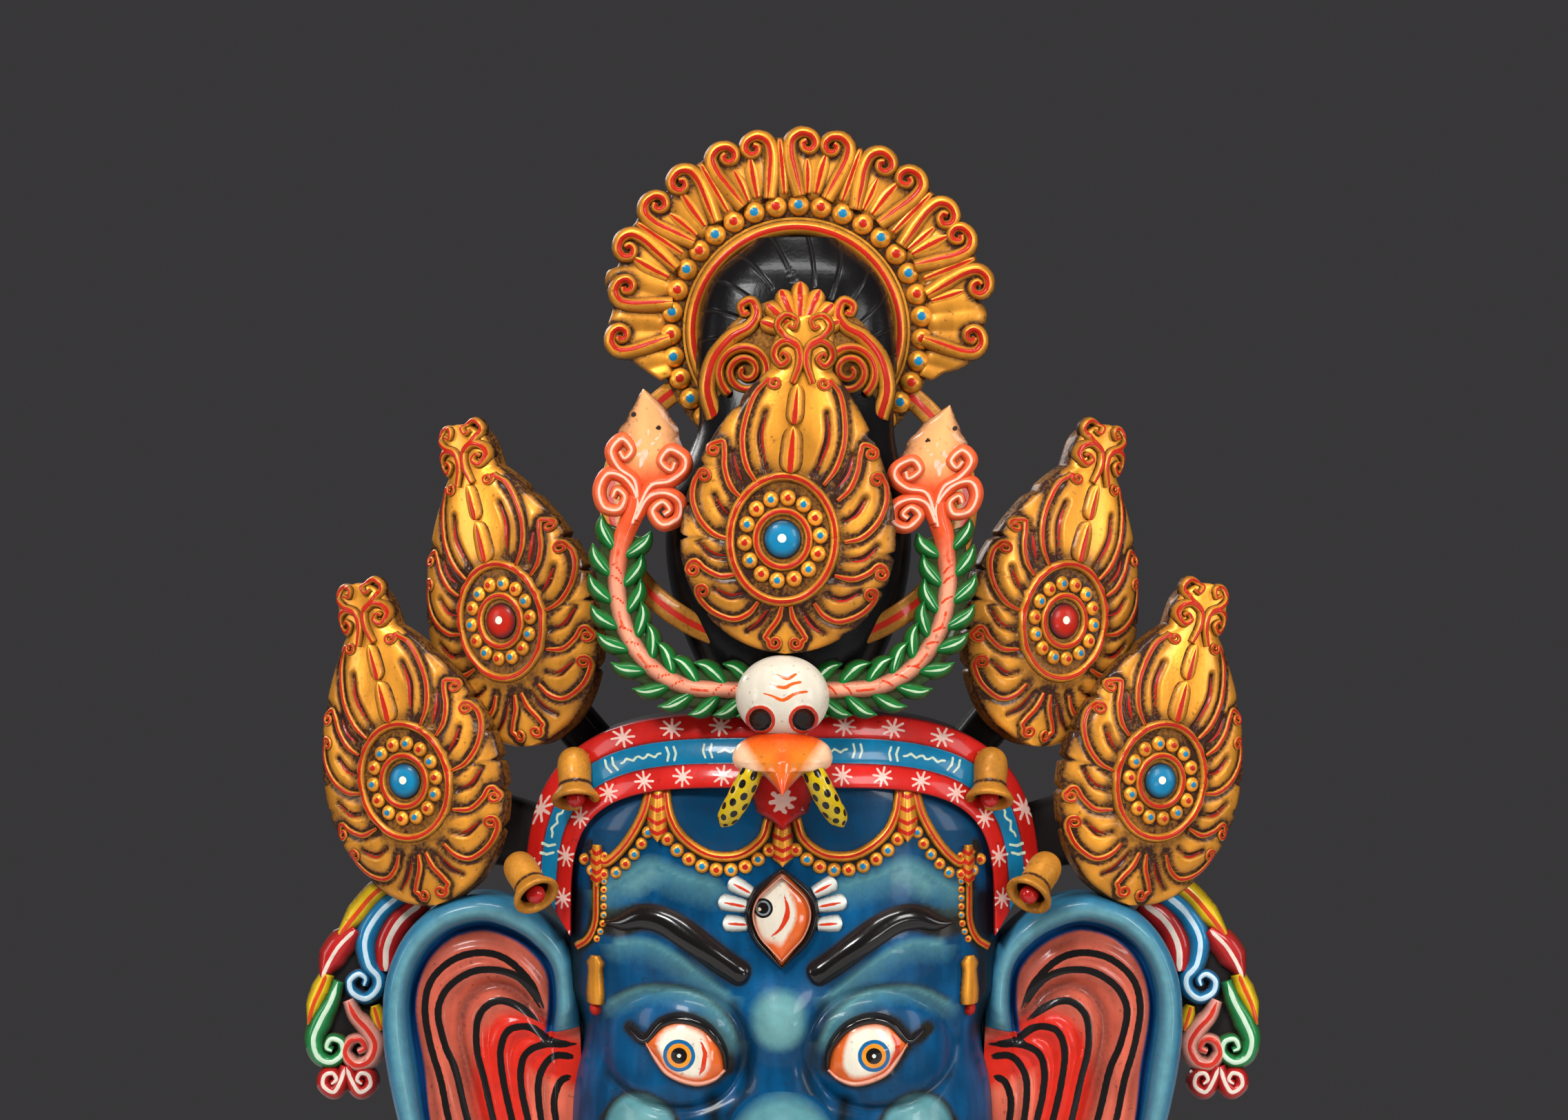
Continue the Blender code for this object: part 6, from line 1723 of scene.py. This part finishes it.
angle = once_round(80)
rise = np.linspace(-0.95, 0.999, 76)[:, None] * np.pi / 2
u = SKULL_RADIUS * np.cos(rise) * np.cos(angle)
v = SKULL_V + SKULL_LOWER * SKULL_RADIUS * np.cos(rise) * np.sin(angle)
height = SKULL_SEAT + SKULL_RADIUS * np.sin(rise) + 0 * u
on_front = height > SKULL_SEAT
socket = np.min([np.hypot(u - a, v - b) for a, b in SOCKETS], axis=0) + np.where(on_front, 0, 40)
sunk = np.sqrt(np.clip(1 - (socket / SOCKET) ** 2, 0, 1))
height = height - SOCKET_DEPTH * sunk + RIM_RISE * hump(socket - SOCKET_RIM, 1.3)
wrinkles = strokes(u, v, [through(line, 14) for line in WRINKLES], profile(14, [0, 0.5, 1], [0.4, 1.25, 0.8]))
bone = part(xyz(u, v, height), hollow=0.5 * hump(v - 8, 4), black=socket - SOCKET,
            green=np.abs(socket - RED_RIM) - 1.15, red=np.where(on_front, wrinkles, FAR))
print("the skull is", round(2 * SKULL_RADIUS), "mm wide")

# %% Beak
beak_paint = painted("beak paint", (0.78, 0.22, 0.018), [
    ("red", (0.70, 0.060, 0.004), 5.0, 12.0), ("pale", (0.84, 0.50, 0.30), 3.0, 8.0)],
    wash_and_shade_colour=(0.12, 0.02, 0.01), coat=0.5, roughness=0.26)
BEAK_SIDE = ((12.5, 4), (11, 15), (8, 24), (3, 30.5), (-3, 33), (-8, 32.5), (-12, 28.5), (-13.2, 17),
             (-17, 11.5), (-21, 7.2), (-25, 3.2), (-28, 0.4))
BEAK_TOP, BEAK_LONG = 12.5, 40.5
BEAK_SEAT, BEAK_RISE, BEAK_RIDGE, BEAK_SLIT, BEAK_UNDER = 158, 25, 11, 0.9, 147

v, side_half = (column[:, None] for column in through(BEAK_SIDE, 80).T)
share = np.sin(np.linspace(-1, 1, 50) * np.pi / 2)
u = side_half * share
drop = np.clip((BEAK_TOP - v) / BEAK_LONG, 0, 1)
crown = np.sqrt(1 - np.abs(share) ** 2.6) * np.clip(0.45 + 1.2 * drop, 0, 1)
height = BEAK_SEAT + BEAK_RISE * crown + BEAK_RIDGE * drop * hump(u, 9) - BEAK_SLIT * hump(u, 0.7)
under_u = side_half * np.array([0.9, 0.4, -0.4, -0.9])
under = xyz(under_u, v, BEAK_UNDER + 12 * drop)
redder = np.min([4.0 - v + 0 * u, v + 15 + 0 * u, np.abs(u) - 2.5 + 0.2 * np.abs(v + 4)], axis=0)
beak = part(np.concatenate([xyz(u, v, height), under], axis=1), hollow=0.25, red=and_behind(redder, 4),
            pale=and_behind(22 - np.abs(u) + 0.7 * v, 4))
print("the beak is", 2 * round(side_half.max()), "mm wide")

# %% Snakes
snake_paint = painted("snake paint", (0.66, 0.46, 0.006), [("black", INK, 0.3, 0.3)],
                      wash_and_shade_colour=(0.10, 0.07, 0.01), coat=0.5, roughness=0.24)
SNAKE = ((16, -4, 166, 6.6), (22, -17, 170, 7.6), (30, -33, 166, 7.8), (37, -44.5, 159, 6.4),
         (40, -50, 156, 1.2))
SPOT, SPOT_PITCH, SPOTS_ROUND = 2.3, 6.4, 5

snakes = []
for side in (-1, 1):
    rings, travel, upward = tube(np.array(SNAKE) * (side, 1, 1, 1), 40, squash=1.0)
    row = np.round(travel / SPOT_PITCH)
    turn = (once_round(40) / (2 * np.pi / SPOTS_ROUND) + 0.5 * (row % 2)) % 1 - 0.5
    spot = np.hypot((travel - row * SPOT_PITCH) * 0.85, turn * 9.6) - SPOT
    snakes += in_paint(snake_paint, part(rings, black=spot, hollow=0.2))
bird = [bone, *in_paint(beak_paint, beak), *snakes]
piece("bird_skull_carving", placed(bird, WALL_PLACE, 1), skull_paint, "white_painted_wood", "bird_skull")

# %% [markdown]
# ## Bells
# Four small bells hang beside the band. They are turned on a lathe, so each is one outline carried round
# an axis: over the crown, down to the rolled lip, and back up inside. The clapper is a red ball.

# %% Bells
clapper_paint = painted("clapper paint", (0.52, 0.012, 0.010), [], wash_and_shade_colour=(0.03, 0.005, 0.005), coat=0.6,
                        roughness=0.22)
BELL_SIDE = (
    (-38, 0.5), (-37, 4.5), (-34, 8.6), (-29, 11), (-22, 11.6), (-14, 11.2), (-8, 11.8), (-4.5, 14),
    (-1.5, 16), (0.8, 16.3), (2.0, 15), (1.6, 13), (0, 11.8), (-4, 10.4), (-12, 9.4), (-22, 8.5),
    (-24, 5), (-24.2, 0.5),
)
BELL_RINGS, BELL_OUTSIDE, BELL_GROOVE = 70, 0.66, -9.5
CLAPPER, CLAPPER_UP = 6.5, 1.0
STALK_SIDE = ((-24, 1.2), (-15, 1.4), (-5, 1.6))
BELLS = (
    ("upper_bell", (140.0, -36.0, 98.0), (-0.06, -0.89, 0.45)),
    ("lower_bell", (166.0, -100.0, 108.0), (-0.45, -0.64, 0.62)),
)


def lathe(outline, mouth, axis, around, count):
    """An outline of (distance along the axis from the mouth, radius) carried round that axis."""
    axis = np.array(axis) / np.linalg.norm(axis)
    across = np.cross(axis, (0, 0, 1.0))
    across /= np.linalg.norm(across)
    up = np.cross(across, axis)
    line = through(outline, count)
    turn = once_round(around)[:, None]
    wheel = np.cos(turn) * across + np.sin(turn) * up
    return np.array(mouth) + line[:, None, :1] * axis + np.clip(line[:, None, 1:], 0.3, None) * wheel


along_bell = through(BELL_SIDE, BELL_RINGS)[:, :1]
inside = (np.arange(BELL_RINGS) > BELL_RINGS * BELL_OUTSIDE)[:, None]
# Wash and painted shade of a bell: some all over, more in its groove, full inside its mouth
bell_wash_and_shade = np.clip(0.42 + hump(along_bell - BELL_GROOVE, 1.2) + inside, 0, 1)
ball_side = [(-CLAPPER * np.cos(a) - CLAPPER_UP, CLAPPER * np.sin(a)) for a in np.linspace(0.05, 3.09, 16)]
for name, mouth, axis in BELLS:
    rings = lathe(BELL_SIDE, mouth, axis, 48, BELL_RINGS)
    bell = part(rings, hollow=bell_wash_and_shade, black=np.where(inside, -4.0, FAR))
    ball = part(lathe(ball_side, mouth, axis, 28, 24), hollow=0.1)
    hanger = part(lathe(STALK_SIDE, mouth, axis, 10, 6), hollow=0.8)
    hung = [bell, *in_paint(clapper_paint, ball, hanger)]
    for ending, side in SIDES:
        node = name + ending
        piece(node + "_turned", placed(hung, WALL_PLACE, side), gold_paint, "gold_painted_wood", node)

# %% [markdown]
# ## Ears
# The big ears are shallow dishes with a rolled pale blue rim. Inside, salmon and red wood is folded like
# cloth and lined in black. An ear is its outline drawn in towards a middle point, and its height depends
# on how far in a point lies: up over the rim, down into a dark groove, then along folds that follow the
# black lines.

# %% Lines of an ear
ear_paint = painted("ear paint", (0.68, 0.135, 0.080), [
    ("red", (0.62, 0.022, 0.010), 3.0, 8.0), ("black", INK, 0.8, 0.4),
    ("blue", (0.003, 0.062, 0.20), 1.0, 2.0), ("pale", (0.028, 0.155, 0.26), 1.2, 0.8),
    ("white", (0.135, 0.32, 0.35), 3.0, 9.0)],
    wash_and_shade_colour=(0.03, 0.012, 0.012), roughness=0.3, coat=0.22, drift=0.5)
EAR_MIDDLE = (206.0, -212.0)
EAR_EDGE = (
    (139, -201), (140.5, -165), (148, -137), (168, -117), (192, -106), (213, -104), (238, -112), (259, -131),
    (272, -160), (275, -195), (270, -235), (258, -280), (238, -328), (208, -366), (178, -374), (162, -350),
    (148, -305), (138, -250),
)
RIM_UP, RIM_FULL_UNTIL, RIM_GONE = ((0, 5, 8), (0, 0.75, 1)), 14, 15
EAR_LINES = (
    ((164, -183), (173, -165), (189, -149), (206, -144), (225, -148), (241, -162), (246, -182), (242, -208),
     (235, -232), (228, -265), (214, -305), (196, -345)),
    ((167, -182), (177, -165), (191, -157), (209, -156), (223, -162), (233, -172), (237, -186), (232, -208),
     (225, -225), (217, -258), (204, -300), (190, -335)),
    ((167, -192), (182, -181), (194, -177), (204, -181), (210, -192), (210, -212), (205, -232), (199, -259),
     (188, -300), (180, -335)),
    ((142, -207), (159, -205), (172, -196), (182, -195), (190, -199), (194, -212), (192, -232), (186, -259),
     (176, -300), (171, -330)),
    ((144, -208), (163, -207), (176, -213), (180, -225), (179, -241), (175, -259), (167, -295), (164, -320)),
    ((142, -216), (156, -215), (164, -222), (168, -235), (166, -259), (159, -290)),
    ((145, -229), (153, -233), (157, -245), (156, -259), (151, -285)),
)
FOLD = ((160, -200), (176, -178), (192, -168), (208, -170), (219, -182), (222, -200), (217, -225),
        (208, -258), (196, -300), (184, -335))
INNER_RED = ((140, -222), (162, -212), (187, -204), (194, -240), (184, -290), (174, -330))
print(len(EAR_LINES), "black lines in each ear")

# %% Shape of an ear
EAR_AROUND, EAR_LINE_STEPS = 240, 60
RIM_BROAD, RIM_HALF, RIM_RISE = 19, 9.6, 16
DISH_HEIGHT, GROOVE_IN, GROOVE_DEPTH, FOLD_DEEP = 56, 21.5, 7, 5
WALL_HEIGHTS = np.array([[20], [38], [54]])


def ear_outline():
    """The outline in even points, and at each of them the share of the rim's full roll that stands there."""
    line = through([*EAR_EDGE, EAR_EDGE[0]], EAR_AROUND + 1)[:-1]
    nearest = [np.argmin(np.hypot(*(line - knot).T)) for knot in np.array(EAR_EDGE)]
    stations = [*RIM_UP[0], nearest[RIM_FULL_UNTIL], nearest[RIM_GONE], EAR_AROUND - 1]
    return line, np.interp(np.arange(EAR_AROUND), stations, [*RIM_UP[1], 1, 0, 0])


def ear_grid(line):
    """Outline rings from the back edge, up the wall and over the rim, to the middle of the dish.

    It gives their places, and how many millimetres each point lies in from the outline.
    """
    reach = np.hypot(*(line - EAR_MIDDLE).T)
    over_rim = RIM_BROAD * (0.5 - 0.5 * np.cos(np.linspace(0.12, np.pi, 14)))
    inset = np.concatenate([[0, 0, 0], over_rim, np.linspace(20.5, 27, 6), np.linspace(29, 60, 26)])
    depth = np.clip(1 - inset[:, None] / reach, 0, 1)
    share = np.concatenate([depth, np.linspace(1, 0.0, 20)[1:, None] * depth[-1]])
    u = EAR_MIDDLE[0] + share * (line[:, 0] - EAR_MIDDLE[0])
    v = EAR_MIDDLE[1] + share * (line[:, 1] - EAR_MIDDLE[1])
    return u, v, (1 - share) * reach


def ear_part():
    """The ear's skin and its paint: dish, rolled rim, groove inside the rim, and folds along the lines."""
    line, rim = ear_outline()
    u, v, inward = ear_grid(line)
    roll = rim * np.sqrt(np.clip(1 - ((inward - 9.5) / RIM_HALF) ** 2, 0, 1))
    groove = rim * hump(inward - GROOVE_IN, 2.4)
    width = profile(EAR_LINE_STEPS, [0, 0.06, 0.9, 1], [0.6, 2.5, 2.3, 0.5])
    lines = strokes(u, v, [through(each, EAR_LINE_STEPS) for each in EAR_LINES], width)
    fold = stroke(u, v, through(FOLD, EAR_LINE_STEPS), 0)
    dish = inward > 20
    height = DISH_HEIGHT + RIM_RISE * roll - GROOVE_DEPTH * groove
    height += dish * (1.5 * np.cos(np.clip(lines, 0, 8) * np.pi / 8) - FOLD_DEEP * hump(fold - 0.5, 5))
    height[:3] = WALL_HEIGHTS
    behind = np.arange(len(u))[:, None] < 3
    # Painted shade and wash in the groove inside the rim, deep in the dish, along the lines and the fold, and
    # behind
    hollow = 0.8 * groove + 0.4 * hump(inward - 30, 5) + 0.35 * (inward > 44) * hump(lines, 3)
    hollow = hollow + 0.7 * hump(fold - 1, 3.0) * dish + 0.5 * behind
    redder = stroke(u, v, through(INNER_RED, 30), profile(30, [0, 0.4, 1], [15, 20, 10]))
    rolled = rim > 0.4
    return part(
        xyz(u, v, height), hollow=np.clip(hollow, 0, 1), red=redder,
        black=np.where(((inward > 22) | (rim < 0.3)) & ~behind, lines, FAR),
        blue=np.where((rim > 0.3) & ~behind, inward - 25.5, FAR),
        pale=np.where(behind, -4, np.where(rolled, inward - 19.5, FAR)),
        # A painted highlight along the crest of the rolled rim
        white=np.where(rolled, np.abs(inward - 11) - 3.0, FAR),
    )


ear = [ear_part()]
for ending, side in SIDES:
    node = "ear" + ending
    piece(node + "_carving", placed(ear, WALL_PLACE, side), ear_paint, "pale_blue_painted_wood", node)

# %% [markdown]
# ## Plumes behind the ears
# Scrolled ribbons in five colours fan out behind each ear, each with one brush line down its middle. All
# are straps on a dark backing: a root, a bend, and for some a spiral at the end.

# %% Ribbons of a plume
PLUME_COLOURS = {
    "yellow": ((0.72, 0.48, 0.006), (0.62, 0.06, 0.01)), "blue": ((0.004, 0.19, 0.40), (0.55, 0.70, 0.78)),
    "red": ((0.47, 0.012, 0.012), (0.74, 0.62, 0.52)), "green": ((0.008, 0.22, 0.06), (0.55, 0.70, 0.52)),
    "pink": ((0.78, 0.33, 0.26), (0.62, 0.03, 0.015)),
}
plume_paints = {}
for colour, (ground_colour, line_colour) in PLUME_COLOURS.items():
    layers = [("white", line_colour, 0.5, 0.3)]
    plume_paints[colour] = painted(colour + " plume paint", ground_colour, layers, coat=0.4)
RIBBONS = (
    ("red", ((250, -112), (266, -125), (275, -142), (276, -160)), 8.5, (0.8, 1, 1, 0.85), 2.0),
    ("yellow", ((272, -97), (285, -107), (297, -121), (308, -135)), 6.6, (0.9, 1, 1, 0.4), 1.6),
    ("blue", ((262, -104), (280, -119), (290, -137), (288, -155), (281, -164), (282, -173), (290, -179),
              (299, -175), (301, -167), (295, -162), (290, -165), (291, -170)),
     7.2, (0.9, 1, 0.62, 0.35), 1.7),
    ("red", ((297, -131), (308, -142), (315, -153), (320, -164)), 8.4, (0.55, 1, 1, 0.3), 1.3),
    ("yellow", ((317, -162), (321, -172), (326, -183), (330, -197)), 6.0, (0.7, 1, 0.8, 0.15), 1.4),
    ("yellow", ((284, -184), (282, -191), (279, -201)), 4.4, (0.6, 1, 1, 0.3), 1.2),
    ("green", ((309, -167), (314, -181), (321, -194), (326, -207), (323, -219), (314, -223), (306, -217),
               (307, -209), (314, -207), (317, -213), (313, -215)), 6.8, (0.5, 1, 0.62, 0.35), 1.6),
    ("pink", ((302, -180), (297, -191), (288, -201), (283, -211), (287, -222), (297, -225), (304, -217),
              (301, -209), (294, -207), (290, -213), (295, -216)), 6.6, (0.6, 1, 0.66, 0.35), 1.6),
    ("red", ((304, -226), (307, -236), (312, -243.5), (319, -239), (318, -232), (312.5, -230.5), (310, -235),
             (313.5, -238)), 5.2, (0.7, 1, 0.8, 0.45), 1.3),
    ("red", ((303, -226), (299, -236), (293.5, -243.5), (286.5, -239), (287.5, -232), (293, -230.5),
             (295.5, -235), (292, -238)), 5.2, (0.7, 1, 0.8, 0.45), 1.3),
)
print(len(RIBBONS), "ribbons in each plume")

# %% Plumes
PLUME_PLACE = (0, -0.014, 0, 0, 0, 1.0)
BACKING = ((258, -104), (276, -128), (294, -160), (302, -196), (302, -234))
BACKING_STEPS, BACKING_SEAT = 60, 7.0
RIBBON_SEAT, RIBBON_STEP, RIBBON_RISE, RIBBON_BROADER = 9.0, 0.4, 6.5, 1.22


def plume_parts():
    """The backing board, then the ribbons in the order in which they lie over each other."""
    width = profile(BACKING_STEPS, [0, 0.3, 0.6, 0.85, 1], [11, 20, 24, 18, 9])
    board = through(BACKING, BACKING_STEPS)
    parts = [strap(board, width, 1.0, level_seat(BACKING_SEAT), 15, BACKING_SEAT)]
    for index, (colour, line, half, swell, inked) in enumerate(RIBBONS):
        count = 26 * len(line) // 3 + 8
        width = RIBBON_BROADER * half * profile(count, [0, 0.3, 0.65, 1], swell)
        ink = np.clip(width * 0.5, 0, inked) * profile(count, [0, 0.08, 0.92, 1], [0, 1, 1, 0.4])
        seat = level_seat(RIBBON_SEAT + RIBBON_STEP * index)
        ribbon = strap(through(line, count), width, RIBBON_RISE, seat, 13, 8.0, line=ink, mark="white")
        parts += in_paint(plume_paints[colour], ribbon)
    return parts


plumes = plume_parts()
for ending, side in SIDES:
    node = "plume" + ending
    piece(node + "_carving", placed(plumes, PLUME_PLACE, side), wood_paint, "red_painted_wood", node)
